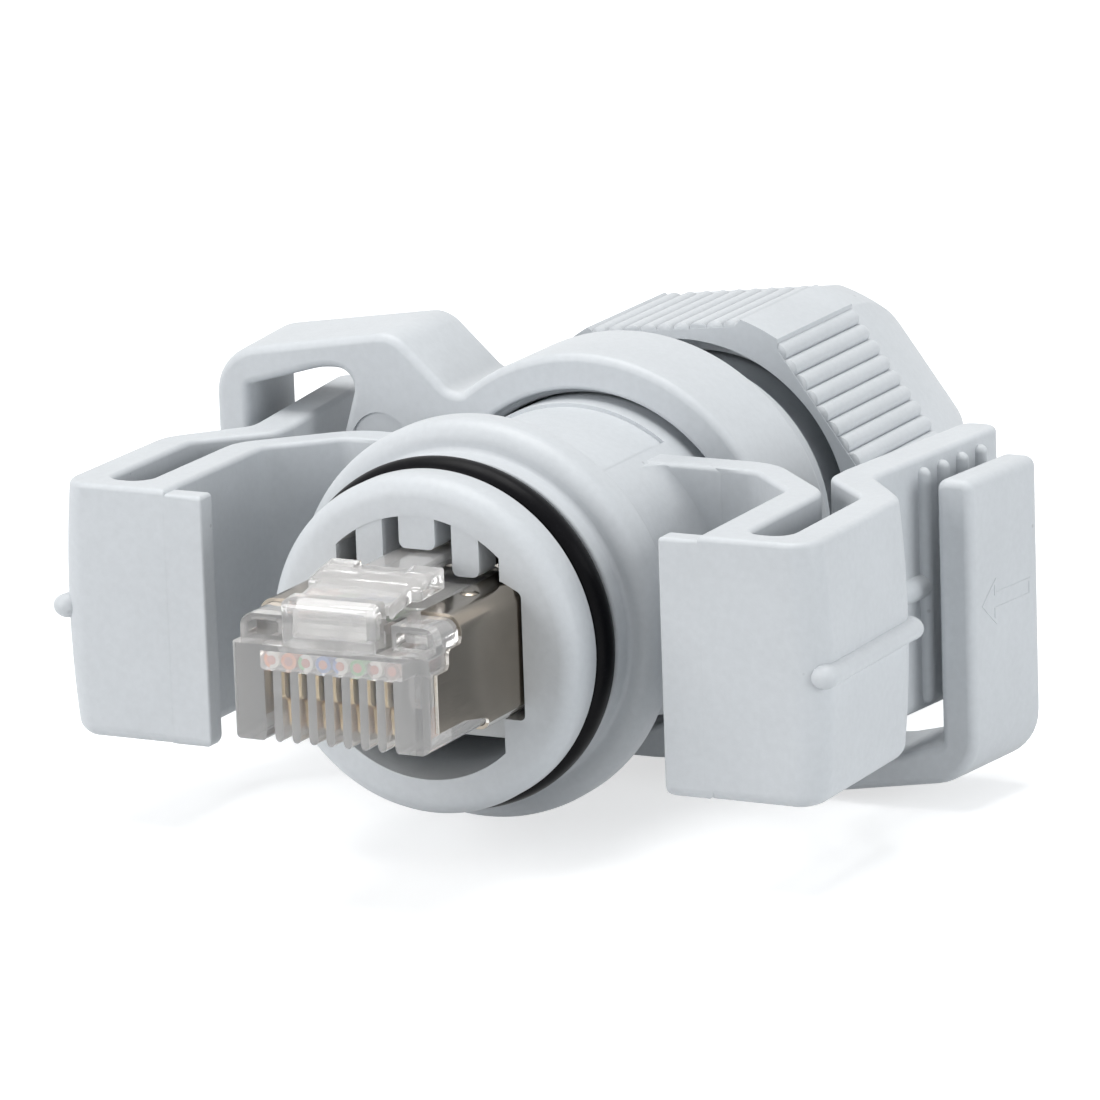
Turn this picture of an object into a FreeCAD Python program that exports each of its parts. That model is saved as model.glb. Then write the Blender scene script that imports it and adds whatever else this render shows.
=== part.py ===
import FreeCAD, Part
import math
import os

import Sketcher
from FreeCAD import Placement, Rotation, Vector

# Sealed plug for a network cable, put together on the cable without tools. A clear modular plug
# sits in the nose of a round housing, two squeezed side arms hook it to its socket, and a loose
# collar with a guard over each lever slides along the body. A ribbed nut closes the cable clamp.
#
# Millimetres. X is to the right seen from the front, the nose points to -Y, +Z is up. The origin
# is on the plug's axis, in the plane of the flange face that meets the socket.

SIZES = {
    # housing, lengths measured from the flange face
    "nose_reach": 5.9,        # nose in front of the flange face
    "nose_wall": 2.05,        # wall of the nose round the bore
    "nose_round": 1.0,        # rounded front edge of the nose
    "seal_groove_front": 3.5,
    "seal_groove_wide": 2.2,
    "seal_section": 1.78,     # thickness of the sealing ring
    "seal_proud": 0.41,       # how far the sealing ring stands out of the nose
    "seal_play": 0.03,
    "shoulder_step": 0.15,    # spigot behind the groove, wider than the nose
    "flange_step": 1.81,
    "flange_thick": 2.4,
    "flange_round": 1.1,
    "bore_radius": 7.3,
    "bore_room": 2.69,        # from the modular plug's back to the ledge in the bore
    "neck_wall": 1.3,
    "neck_long": 15.1,
    "body_step": 0.71,        # the smooth body is this much wider than the neck
    "body_tail": 5.04,        # smooth body behind the collar
    "panel_depth": 0.44,      # sunk panel on top
    "panel_half_angle": 36.0,
    "panel_back": 13.1,
    "edge_bevel": 0.3,
    # opening in the nose
    "mouth_ledge": 0.05,
    "mouth_inset": 0.9,
    "slot_side_play": 0.13,   # room beside the shielded modular plug
    "slot_play": 0.12,        # room above it
    "slot_deep": 0.45,        # slot below the modular plug's shield
    "finger_deep": 2.0,
    "finger_gap": 1.0,        # between the middle finger and the long ones
    "finger_wide": 1.6,
    "finger_play": 0.08,
    "middle_finger_half": 1.08,
    "middle_finger_play": 0.2,
    # latch arms
    "wing_half_height": 7.2,
    "arm_thick": 2.2,
    "stub_reach": 1.29,       # from the body out to the arm's root
    "pivot_back": 10.85,
    "pivot_play": 0.04,
    "socket_lip": 0.3,
    "bend_run": 2.35,         # straight run from the root to the slanted part
    "bend_wall": 1.8,
    "bend_gap": 1.3,
    "lever_bend_wall": 2.2,
    "bow_reach": 5.4,         # from the arm's root out to the bow's inner face
    "bow_wall": 2.15,
    "grip_gap": 2.35,
    "grip_wall": 2.55,
    "grip_crown": 0.4,        # bulge of the grip's outside over its height
    "grip_gap_front": 3.2,
    "wing_front": 4.8,
    "hook_thick": 1.4,
    "hook_reach": 2.25,
    "lever_offset": 0.95,
    "lever_wall": 2.35,
    "lever_knee": 0.75,       # lever's bend behind the arm's root
    "lever_tail": 2.99,       # lever behind the collar
    "lever_flare": 6.9,       # degrees
    "root_round": 3.2,
    "bend_round": 2.6,
    "inner_round": 0.9,
    "hook_round": 0.3,
    "rib_first": 1.5,         # first finger rib behind the collar's front
    "rib_pitch": 2.03,
    "rib_wide": 0.75,
    "rib_proud": 0.5,
    "rib_margin": 0.8,
    "ridge_half": 0.85,       # cross ridge on the outside of the grip
    "ridge_proud": 0.65,
    "ridge_front": 3.6,
    "ridge_back": 7.0,
    "spine_gap": 0.2,         # ridge between the lever's bend and its first rib
    # locking collar
    "ring_clear": 2.15,       # collar behind the arms
    "ring_long": 7.26,
    "ring_wall": 2.42,
    "ring_play": 0.14,
    "ring_mouth_step": 0.38,
    "ring_mouth_deep": 1.2,
    "ring_front_round": 0.45,
    "ring_back_bevel": 0.7,
    "ring_flat_cut": 1.02,
    "guard_room": 1.95,       # between lever and guard plate
    "guard_wall": 2.08,
    "guard_flare": 0.85,      # how much the guard leans out over its length
    "guard_end": 6.4,
    "guard_round": 3.0,
    "hood_room": 1.4,         # between the lever's edge and the hood
    "hood_thick": 1.85,
    "hood_rise": 1.9,
    "hood_start": 1.3,        # inner top corner of the hood, outside the arm's root
    "hood_root_angle": 48.0,
    "hood_round": 0.8,
    "root_room": 1.65,
    "root_undercut": 1.1,
    "root_down": 3.5,
    "mark_radius": 1.85,
    "mark_deep": 0.2,
    # nut
    "nut_gap": 0.62,
    "thread_play": 0.2,
    "nut_relief_step": 1.25,
    "nut_relief_deep": 3.0,
    "nut_wall": 0.5,          # thinnest wall, under the ribs
    "nut_rib_proud": 0.4,
    "nut_rib_pitch": 1.06,
    "nut_rib_gap": 0.1,
    "nut_rib_slope": 0.22,
    "nut_grip_long": 10.4,
    "nut_corner": 1.05,       # rounded corners outside the ribs
    "nut_barrel": 1.0,        # the dome's widest place outside the flats under the ribs
    "nut_clock": 53.5,        # degrees
    "nut_dome_long": 11.55,
    "nut_rim": 0.65,
    "nut_hole_radius": 4.6,
    "nut_cone_deep": 2.0,
    "nut_cone_step": 2.4,
    # clamp for the cable
    "cage_flange_thick": 1.1,
    "cage_wall": 1.5,
    "cage_play": 0.1,
    "cage_long": 10.5,
    "cage_slot": 1.6,
    "cage_slot_left": 2.5,    # solid sleeve behind the slots
    "cage_lip_thick": 0.6,
    "cage_lip": 1.3,
    "cable_radius": 3.0,
    "cable_seal_short": 0.6,
    "cable_seal_play": 0.05,
    "thrust_thick": 1.4,
    "thrust_wall": 3.0,
    # cradle that carries the modular plug
    "cradle_front": 5.2,
    "cradle_thick": 1.75,
    "cradle_play": 0.05,
    "cradle_disc_thick": 4.0,
    "cradle_window_side": 0.3,
    "cradle_window_down": 2.3,
    "cradle_window_up": 2.1,
    # modular plug
    "plug_reach": 16.15,
    "plug_long": 21.46,
    "plug_side_wall": 1.1,
    "plug_down": 2.8,
    "plug_roof": 1.05,
    "plug_step": 1.35,        # ledge across the plug's front, below its top
    "plug_set_back": 1.15,
    "plug_corner": 0.4,
    "blade_play": 0.2,
    "slot_long": 3.9,
    "blade_thick": 0.32,
    "blade_set_back": 0.85,
    "blade_long": 2.7,
    "blade_recess": 0.5,
    "blade_tip": 1.0,
    "wire_radius": 0.46,
    "wire_web": 0.04,
    "wire_up": 1.5,
    "wire_set_back": 0.6,
    "wire_tail": 1.5,         # conductors behind the ledge in the bore
    "wire_room": 0.03,
    "channel_side": 0.17,
    "chamber_set_back": 5.55,
    "chamber_side": 0.5,
    "chamber_down": 1.2,
    "chamber_room": 0.25,
    "bar_long": 4.0,
    "bar_play": 0.04,
    "bar_half_height": 0.95,
    # tab of the modular plug
    "tab_half": 2.8,
    "tab_set_back": 0.9,
    "tab_root_long": 1.25,
    "tab_thick": 0.84,
    "tab_play": 0.02,
    "tab_gap": 0.06,
    "tab_tilt_angle": 9.76,   # degrees
    "tab_shoulder_side": 0.6,
    "tab_shoulder_start": 2.1,
    "tab_shoulder_long": 2.75,
    "tab_shoulder_deep": 0.3,
    "tab_tail_half": 1.6,
    "tab_tail_rise": 1.3,
    "tab_tail_thick": 0.7,
    "tab_tail_long": 6.25,
    # shield of the modular plug
    "shield_sheet": 0.2,
    "shield_set_back": 3.65,
    "shield_short": 0.51,
    "shield_step_up": 2.45,
    "shield_step_long": 1.5,
    "shield_tip_up": 1.4,
    "shield_tip_long": 1.35,
    "shield_tip_down": 1.75,
    "shield_wrap_back": 2.8,
    "shield_notch_side": 0.25,
    "shield_notch_back": 2.0,
}

doc = FreeCAD.newDocument("sealed_network_plug")
sheet = doc.addObject("Spreadsheet::Sheet", "Sizes")
for row, (alias, number) in enumerate(SIZES.items(), 1):
    sheet.set("A%d" % row, alias.replace("_", " "))
    sheet.set("B%d" % row, str(number))
    sheet.setAlias("B%d" % row, alias)
doc.recompute()


class Size:
    """A number with the sheet formula that it comes from."""

    def __init__(self, value, text):
        self.value = value
        self.text = text

    def __add__(self, other):
        return mix(self, other, "+")

    def __radd__(self, other):
        return mix(other, self, "+")

    def __sub__(self, other):
        return mix(self, other, "-")

    def __rsub__(self, other):
        return mix(other, self, "-")

    def __mul__(self, other):
        return mix(self, other, "*")

    def __rmul__(self, other):
        return mix(other, self, "*")

    def __truediv__(self, other):
        return mix(self, other, "/")

    def __neg__(self):
        return Size(-self.value, "(-1 * %s)" % self.text)


def size(number):
    return number if isinstance(number, Size) else Size(float(number), "%.6f" % number)


def mix(left, right, sign):
    left = size(left)
    right = size(right)
    text = "(%s %s %s)" % (left.text, sign, right.text)
    if sign == "+":
        return Size(left.value + right.value, text)
    if sign == "-":
        return Size(left.value - right.value, text)
    if sign == "*":
        return Size(left.value * right.value, text)
    return Size(left.value / right.value, text)


def tangent(degrees):
    return Size(math.tan(math.radians(degrees.value)), "tan(%s * 1 deg)" % degrees.text)


def sine(degrees):
    return Size(math.sin(math.radians(degrees.value)), "sin(%s * 1 deg)" % degrees.text)


def cosine(degrees):
    return Size(math.cos(math.radians(degrees.value)), "cos(%s * 1 deg)" % degrees.text)


class Sheet:
    """The sheet's cells by their names."""

    def __getattr__(self, alias):
        return Size(float(SIZES[alias]), "Sizes." + alias)


v = Sheet()
ROOT2 = math.sqrt(2.0)
parts = {}


# Drawing and building helpers

def bind(thing, path, number):
    thing.setExpression(path, size(number).text)


def new_body(label):
    made = doc.addObject("PartDesign::Body", label)
    made.Label = label
    parts[label] = made
    return made


def new_sketch(body, name, plane, offset=None):
    drawing = body.newObject("Sketcher::SketchObject", name)
    support = [item for item in body.Origin.OriginFeatures if item.Role == plane][0]
    drawing.AttachmentSupport = [(support, "")]
    drawing.MapMode = "FlatFace"
    if offset is not None:
        offset = size(offset)
        drawing.AttachmentOffset = Placement(Vector(0, 0, offset.value), Rotation())
        bind(drawing, "AttachmentOffset.Base.z", offset)
    return drawing


def pin(drawing, edge, end, across, up):
    for kind, axis, number in (("DistanceX", -2, size(across)), ("DistanceY", -1, size(up))):
        if abs(number.value) < 1e-9:
            drawing.addConstraint(Sketcher.Constraint("PointOnObject", edge, end, axis))
        else:
            made = drawing.addConstraint(Sketcher.Constraint(kind, -1, 1, edge, end, number.value))
            bind(drawing, "Constraints[%d]" % made, number)


def polygon(drawing, corners):
    first = drawing.GeometryCount
    count = len(corners)
    ends = [Vector(size(a).value, size(b).value, 0) for a, b in corners]
    for number in range(count):
        drawing.addGeometry(Part.LineSegment(ends[number], ends[(number + 1) % count]))
    for number in range(count):
        following = first + (number + 1) % count
        drawing.addConstraint(Sketcher.Constraint("Coincident", first + number, 2, following, 1))
    for number, (across, up) in enumerate(corners):
        pin(drawing, first + number, 1, across, up)


def rectangle(drawing, left, right, low, high):
    polygon(drawing, [(left, low), (right, low), (right, high), (left, high)])


def circle(drawing, across, up, radius):
    across = size(across)
    up = size(up)
    radius = size(radius)
    made = drawing.addGeometry(Part.Circle(Vector(across.value, up.value, 0), Vector(0, 0, 1), radius.value))
    pin(drawing, made, 3, across, up)
    fixed = drawing.addConstraint(Sketcher.Constraint("Radius", made, radius.value))
    bind(drawing, "Constraints[%d]" % fixed, radius)


def barrel_outline(drawing, radius, half):
    """A circle about the origin with its left and right sides cut straight."""
    radius = size(radius)
    half = size(half)
    rise = math.sqrt(radius.value ** 2 - half.value ** 2)
    turn = math.atan2(rise, half.value)
    ring = Part.Circle(Vector(0, 0, 0), Vector(0, 0, 1), radius.value)
    top = drawing.addGeometry(Part.ArcOfCircle(ring, turn, math.pi - turn))
    low = drawing.addGeometry(Part.ArcOfCircle(ring, math.pi + turn, 2 * math.pi - turn))
    left = drawing.addGeometry(Part.LineSegment(Vector(-half.value, rise, 0), Vector(-half.value, -rise, 0)))
    right = drawing.addGeometry(Part.LineSegment(Vector(half.value, -rise, 0), Vector(half.value, rise, 0)))
    for one, end, other, start in ((top, 2, left, 1), (left, 2, low, 1), (low, 2, right, 1), (right, 2, top, 1)):
        drawing.addConstraint(Sketcher.Constraint("Coincident", one, end, other, start))
    for arc in (top, low):
        drawing.addConstraint(Sketcher.Constraint("Coincident", arc, 3, -1, 1))
        fixed = drawing.addConstraint(Sketcher.Constraint("Radius", arc, radius.value))
        bind(drawing, "Constraints[%d]" % fixed, radius)
    for line, side in ((left, -half), (right, half)):
        drawing.addConstraint(Sketcher.Constraint("Vertical", line))
        fixed = drawing.addConstraint(Sketcher.Constraint("DistanceX", -1, 1, line, 1, side.value))
        bind(drawing, "Constraints[%d]" % fixed, side)


def solid(body, kind, name, drawing, length, backwards=False, middle=False):
    """A pad or a pocket, told by its kind."""
    made = body.newObject("PartDesign::" + kind, name)
    made.Profile = drawing
    made.SideType = "Symmetric" if middle else "One side"
    made.Reversed = backwards
    bind(made, "Length", length)
    drawing.Visibility = False
    doc.recompute()
    return made


def turned(body, kind, name, drawing, axis="V_Axis", angle=360):
    made = body.newObject("PartDesign::" + kind, name)
    made.Profile = drawing
    made.ReferenceAxis = (drawing, [axis])
    if isinstance(angle, Size):
        made.Midplane = True
        bind(made, "Angle", angle)
    else:
        made.Angle = angle
    doc.recompute()
    return made


def near(edge, point, reach=0.06):
    middle = edge.valueAt((edge.FirstParameter + edge.LastParameter) / 2)
    return all(goal is None or abs(have - size(goal).value) < reach for have, goal in zip(middle, point))


def along(edge, axis):
    if not isinstance(edge.Curve, Part.Line):
        return False
    run = edge.Vertexes[-1].Point - edge.Vertexes[0].Point
    return abs(abs(run.normalize().dot(axis)) - 1) < 1e-6


def edges_where(shape, test):
    return ["Edge%d" % number for number, edge in enumerate(shape.Edges, 1) if test(edge)]


def eased(body, name, radius, test, kind="Fillet"):
    """Rounds or bevels the edges of the body's last form that pass the test."""
    base = body.Tip
    names = edges_where(base.Shape, test)
    if not names:
        raise RuntimeError("no edge found for " + name)
    made = body.newObject("PartDesign::" + kind, name)
    made.Base = (base, names)
    bind(made, "Radius" if kind == "Fillet" else "Size", radius)
    doc.recompute()
    if not made.isValid() or made.Shape.isNull():
        raise RuntimeError("rounding failed: " + name)
    return made


def volume_step(body, before, grows, name):
    """Makes sure that a step added or removed material."""
    after = body.Shape.Volume
    if (after - before) * (1 if grows else -1) <= 1e-6:
        raise RuntimeError("nothing changed: " + name)
    return after


X_AXIS = Vector(1, 0, 0)
Y_AXIS = Vector(0, 1, 0)
Z_AXIS = Vector(0, 0, 1)

# Lines that several pieces share

nose_radius = v.bore_radius + v.nose_wall
shoulder_radius = nose_radius + v.shoulder_step
plug_back = v.plug_long - v.plug_reach
bore_front = plug_back + v.bore_room
neck_radius = v.bore_radius + v.neck_wall
body_radius = neck_radius + v.body_step
flange_radius = body_radius + v.flange_step
mouth_radius = v.bore_radius - v.mouth_ledge

pivot_out = body_radius + v.stub_reach
arm_back = v.pivot_back + v.arm_thick / 2
arm_front = v.pivot_back - v.arm_thick / 2
bow_inner = pivot_out + v.bow_reach
bow_outer = bow_inner + v.bow_wall
grip_inner = bow_outer + v.grip_gap
grip_outer = grip_inner + v.grip_wall
lever_inner = bow_inner + v.lever_offset
lever_outer = lever_inner + v.lever_wall
lever_bend = v.pivot_back + v.lever_knee
slant_back = pivot_out + v.bend_run + arm_back            # X + Y along the arm's slanted back
slant_front = slant_back - v.bend_wall * ROOT2
slant_lever = slant_back + v.bend_gap * ROOT2
slant_outside = slant_lever + v.lever_bend_wall * ROOT2

ring_front = arm_back + v.ring_clear
ring_back = ring_front + v.ring_long
ring_bore = body_radius + v.ring_play
ring_mouth = ring_bore + v.ring_mouth_step
ring_radius = ring_bore + v.ring_wall
ring_middle = ring_bore + v.ring_wall / 2
lever_back = ring_back + v.lever_tail
body_back = ring_back + v.body_tail
neck_back = body_back + v.neck_long

nut_front = body_back + v.nut_gap
nut_thread = neck_radius + v.thread_play
nut_relief = nut_thread + v.nut_relief_step
nut_floor = nut_relief + v.nut_wall                       # flats that carry the ribs
nut_crest = nut_floor + v.nut_rib_proud
nut_corner = nut_crest + v.nut_corner
nut_barrel = nut_floor + v.nut_barrel
nut_grip_back = nut_front + v.nut_grip_long
thrust_front = neck_back + v.cage_flange_thick
thrust_back = thrust_front + v.thrust_thick
nut_back = nut_grip_back + v.nut_dome_long

pitch = (v.wire_radius + v.wire_room) * 2 + v.wire_web
channel_half = pitch * 3.5 + v.wire_radius + v.channel_side
chamber_half = channel_half + v.chamber_side
plug_half = chamber_half + v.plug_side_wall
chamber_up = v.wire_up + v.bar_half_height + v.chamber_room
plug_up = chamber_up + v.plug_roof
plug_ledge = plug_up - v.plug_step
shield_in = plug_half + 0.02
shield_out = shield_in + v.shield_sheet
shield_top = plug_up + v.shield_sheet
plug_floor = -v.plug_down - v.shield_sheet
wire_reach = v.plug_reach - v.wire_set_back
slot_half = shield_out + v.slot_side_play
slot_up = shield_top + v.slot_play
mouth_half = plug_half - v.mouth_inset

seal_centre = nose_radius + v.seal_proud - v.seal_section / 2
groove_floor = seal_centre - v.seal_section / 2 - v.seal_play
groove_back = v.seal_groove_front - v.seal_groove_wide

tab_height = plug_up + v.tab_thick / 2 + v.tab_gap
tab_root_front = v.plug_reach - v.tab_set_back
tab_pivot = tab_root_front - v.tab_root_long
tab_shoulder_front = tab_pivot - v.tab_shoulder_start
tab_shoulder_back = tab_shoulder_front - v.tab_shoulder_long
tab_shoulder_half = v.tab_half + v.tab_shoulder_side
tab_tail_back = tab_shoulder_back - v.tab_tail_long
tab_tail_up = shield_top + v.tab_tail_rise


# Housing: nose, flange, body and threaded neck in one moulding

housing = new_body("plug_housing")
outline = new_sketch(housing, "HousingOutline", "XY_Plane")
polygon(outline, [
    (0, -v.nose_reach),
    (nose_radius, -v.nose_reach),
    (nose_radius, -v.seal_groove_front),
    (groove_floor, -v.seal_groove_front),
    (groove_floor, -groove_back),
    (shoulder_radius, -groove_back),
    (shoulder_radius, 0),
    (flange_radius, 0),
    (flange_radius, v.flange_thick),
    (body_radius, v.flange_thick),
    (body_radius, body_back),
    (neck_radius, body_back),
    (neck_radius, neck_back),
    (0, neck_back),
])
turned(housing, "Revolution", "HousingForm", outline)
eased(housing, "NoseEdge", v.nose_round, lambda e: near(e, (None, -v.nose_reach, None))
      and e.Length > 6 * nose_radius.value)
eased(housing, "FlangeEdge", v.flange_round, lambda e: near(e, (None, 0, None))
      and e.Length > 6.2 * flange_radius.value)
eased(housing, "BodyEdge", v.edge_bevel, lambda e: near(e, (None, body_back, None))
      and e.Length > 6.2 * body_radius.value, "Chamfer")

stubs = new_sketch(housing, "StubOutline", "XY_Plane")
for side in (1, -1):
    stub_in = side * (body_radius - v.neck_wall)
    stub_out = side * (pivot_out - v.socket_lip)
    polygon(stubs, [(stub_in, arm_front), (stub_out, arm_front), (stub_out, arm_back), (stub_in, arm_back)])
solid(housing, "Pad", "Stubs", stubs, v.wing_half_height * 2, middle=True)

sockets = new_sketch(housing, "SocketOutline", "XY_Plane")
for side in (1, -1):
    circle(sockets, side * pivot_out, v.pivot_back, v.arm_thick / 2 + v.pivot_play)
volume = housing.Shape.Volume
solid(housing, "Pocket", "Sockets", sockets, v.wing_half_height * 2 + 2, middle=True)
volume = volume_step(housing, volume, False, "sockets")

panel = new_sketch(housing, "PanelOutline", "YZ_Plane")
rectangle(panel, v.flange_thick, v.panel_back, body_radius - v.panel_depth, body_radius + 1)
turned(housing, "Groove", "Panel", panel, "H_Axis", v.panel_half_angle * 2)
volume = volume_step(housing, volume, False, "panel")

bore = new_sketch(housing, "BoreOutline", "XZ_Plane", -neck_back)
circle(bore, 0, 0, v.bore_radius)
solid(housing, "Pocket", "Bore", bore, neck_back - bore_front, backwards=True)
volume = volume_step(housing, volume, False, "bore")

mouth = new_sketch(housing, "MouthOutline", "XZ_Plane", v.nose_reach)
barrel_outline(mouth, mouth_radius, mouth_half)
solid(housing, "Pocket", "Mouth", mouth, v.nose_reach + bore_front)
volume = volume_step(housing, volume, False, "mouth")

slot = new_sketch(housing, "SlotOutline", "XZ_Plane", v.nose_reach)
rectangle(slot, -slot_half, slot_half, plug_floor - v.slot_deep, slot_up)
solid(housing, "Pocket", "Slot", slot, v.nose_reach + bore_front)
volume = volume_step(housing, volume, False, "slot")

fingers = new_sketch(housing, "FingerOutline", "XZ_Plane", v.nose_reach)
finger_top = mouth_radius + v.mouth_inset / 2
for side in (1, -1):
    inner = side * (v.middle_finger_half + v.finger_gap)
    outer = side * (v.middle_finger_half + v.finger_gap + v.finger_wide)
    foot = slot_up + v.finger_play
    polygon(fingers, [(inner, foot), (outer, foot), (outer, finger_top), (inner, finger_top)])
rectangle(fingers, -v.middle_finger_half, v.middle_finger_half, tab_tail_up + v.middle_finger_play, finger_top)
solid(housing, "Pad", "Fingers", fingers, v.finger_deep, backwards=True)
volume = volume_step(housing, volume, True, "fingers")


# Sealing ring in the nose groove

o_ring = doc.addObject("Part::Torus", "nose_o_ring")
o_ring.Label = "nose_o_ring"
bind(o_ring, "Radius1", seal_centre)
bind(o_ring, "Radius2", v.seal_section / 2)
o_ring.Placement = Placement(Vector(0, -(v.seal_groove_front.value - v.seal_groove_wide.value / 2), 0),
                             Rotation(X_AXIS, 90))
bind(o_ring, "Placement.Base.y", v.seal_groove_wide / 2 - v.seal_groove_front)
parts["nose_o_ring"] = o_ring


# Latch arms: a bent plate of constant height with a hook, a crowned grip and a long lever

def crown_outline(drawing, side, outside):
    """The space outside a long arc that bulges out to the grip's outer face."""
    half = v.wing_half_height + 0.5
    chord = half.value
    bulge = v.grip_crown.value
    arc_radius = (chord ** 2 + bulge ** 2) / (2 * bulge)
    radius = (half * half + v.grip_crown * v.grip_crown) / (v.grip_crown * 2)
    centre = outside - radius
    turn = math.asin(chord / arc_radius)
    middle = 0.0 if side > 0 else math.pi
    ring = Part.Circle(Vector(side * centre.value, 0, 0), Vector(0, 0, 1), arc_radius)
    arc = drawing.addGeometry(Part.ArcOfCircle(ring, middle - turn, middle + turn))
    first = -half if side > 0 else half
    far = side * (outside + 1)
    near_x = side * (outside - v.grip_crown)
    spots = [(near_x, -first), (far, -first), (far, first), (near_x, first)]
    for number in range(3):
        one = Vector(spots[number][0].value, spots[number][1].value, 0)
        two = Vector(spots[number + 1][0].value, spots[number + 1][1].value, 0)
        drawing.addGeometry(Part.LineSegment(one, two))
    drawing.addConstraint(Sketcher.Constraint("Coincident", arc, 2, 1, 1))
    drawing.addConstraint(Sketcher.Constraint("Coincident", 1, 2, 2, 1))
    drawing.addConstraint(Sketcher.Constraint("Coincident", 2, 2, 3, 1))
    drawing.addConstraint(Sketcher.Constraint("Coincident", 3, 2, arc, 1))
    pin(drawing, 1, 1, *spots[0])
    pin(drawing, 2, 1, *spots[1])
    pin(drawing, 3, 1, *spots[2])
    pin(drawing, 3, 2, *spots[3])
    fixed = drawing.addConstraint(Sketcher.Constraint("Radius", arc, arc_radius))
    bind(drawing, "Constraints[%d]" % fixed, radius)


def latch_arm(label, side):
    arm = new_body(label)
    plan = new_sketch(arm, label + "_plan", "XY_Plane")
    lean = tangent(v.lever_flare)
    lever_in_back = lever_inner + (lever_back - lever_bend) * lean
    corners = [
        (pivot_out, arm_back),
        (pivot_out + v.bend_run, arm_back),
        (bow_outer, slant_back - bow_outer),
        (bow_outer, -v.grip_gap_front),
        (grip_inner, -v.grip_gap_front),
        (grip_inner, slant_lever - grip_inner),
        (lever_inner, slant_lever - lever_inner),
        (lever_inner, lever_bend),
        (lever_in_back, lever_back),
        (lever_in_back + v.lever_wall, lever_back),
        (lever_outer, lever_bend),
        (lever_outer, slant_outside - lever_outer),
        (grip_outer, slant_outside - grip_outer),
        (grip_outer, -v.wing_front),
        (bow_inner - v.hook_reach, -v.wing_front),
        (bow_inner - v.hook_reach, v.hook_thick - v.wing_front),
        (bow_inner, v.hook_thick - v.wing_front),
        (bow_inner, slant_front - bow_inner),
        (slant_front - arm_front, arm_front),
        (pivot_out, arm_front),
    ]
    polygon(plan, [(side * across, along_y) for across, along_y in corners])
    solid(arm, "Pad", label + "_plate", plan, v.wing_half_height * 2, middle=True)

    def corner_set(*numbers):
        spots = [(side * size(corners[number][0]), corners[number][1], None) for number in numbers]
        return lambda e: along(e, Z_AXIS) and any(near(e, spot) for spot in spots)

    eased(arm, label + "_root_bend", v.root_round, corner_set(1))
    eased(arm, label + "_bends", v.bend_round, corner_set(2, 12))
    eased(arm, label + "_front_corner", v.bend_round - v.inner_round, corner_set(13))
    eased(arm, label + "_inner_bends", v.inner_round, corner_set(3, 4, 5, 6, 11, 17, 18))
    eased(arm, label + "_lever_end", v.inner_round, corner_set(8, 9))
    eased(arm, label + "_hook_edges", v.hook_round, corner_set(14, 15))

    volume = arm.Shape.Volume
    crown = new_sketch(arm, label + "_crown", "XZ_Plane", -(v.wing_front + slant_outside))
    crown_outline(crown, side, grip_outer)
    solid(arm, "Pocket", label + "_crowned_side", crown, v.wing_front * 2 + slant_outside + 1, backwards=True)
    volume = volume_step(arm, volume, False, "crowned side")

    eye = new_sketch(arm, label + "_eye", "XY_Plane")
    circle(eye, side * pivot_out, v.pivot_back, v.arm_thick / 2)
    solid(arm, "Pad", label + "_barrel", eye, v.wing_half_height * 2, middle=True)

    ribs = new_sketch(arm, label + "_ribs", "XY_Plane")
    for number in range(4):
        centre = ring_front + v.rib_first + v.rib_pitch * number
        face = lever_outer + (centre - lever_bend) * lean
        low = centre - v.rib_wide / 2
        high = centre + v.rib_wide / 2
        inside = side * (face - v.lever_wall / 3)
        outside = side * (face + v.rib_proud)
        polygon(ribs, [(inside, low), (outside, low), (outside, high), (inside, high)])
    solid(arm, "Pad", label + "_grip_ribs", ribs, (v.wing_half_height - v.rib_margin) * 2, middle=True)

    ridge = new_sketch(arm, label + "_ridge", "XY_Plane")
    inside = side * (grip_outer - v.grip_wall / 3)
    outside = side * (grip_outer + v.ridge_proud)
    polygon(ridge, [(inside, -v.ridge_front), (outside, -v.ridge_front + v.ridge_proud),
                    (outside, v.ridge_back - v.ridge_proud), (inside, v.ridge_back)])
    spine_front = lever_bend + v.spine_gap
    spine_back = ring_front + v.rib_first
    front_face = lever_outer + v.spine_gap * lean
    back_face = lever_outer + (spine_back - lever_bend) * lean
    polygon(ridge, [(side * (front_face - v.lever_wall / 3), spine_front),
                    (side * (front_face + v.rib_proud), spine_front),
                    (side * (back_face + v.rib_proud), spine_back),
                    (side * (back_face - v.lever_wall / 3), spine_back)])
    solid(arm, "Pad", label + "_cross_ridge", ridge, v.ridge_half * 2, middle=True)
    return arm


latch_arm("latch_arm_right", 1)
latch_arm("latch_arm_left", -1)


# Locking collar: a loose ring with a hood over each lever that ends in a guard plate

collar = new_body("locking_ring")
ring_outline = new_sketch(collar, "RingOutline", "XY_Plane")
mouth_back = ring_front + v.ring_mouth_deep
polygon(ring_outline, [
    (ring_mouth, ring_front),
    (ring_radius, ring_front),
    (ring_radius, ring_back - v.ring_back_bevel),
    (ring_radius - v.ring_back_bevel / 2, ring_back),
    (ring_bore, ring_back),
    (ring_bore, mouth_back),
    (ring_mouth, mouth_back),
])
turned(collar, "Revolution", "RingForm", ring_outline)
eased(collar, "RingFrontEdge", v.ring_front_round, lambda e: near(e, (None, ring_front, None))
      and e.Length > 6.2 * ring_radius.value)

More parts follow.
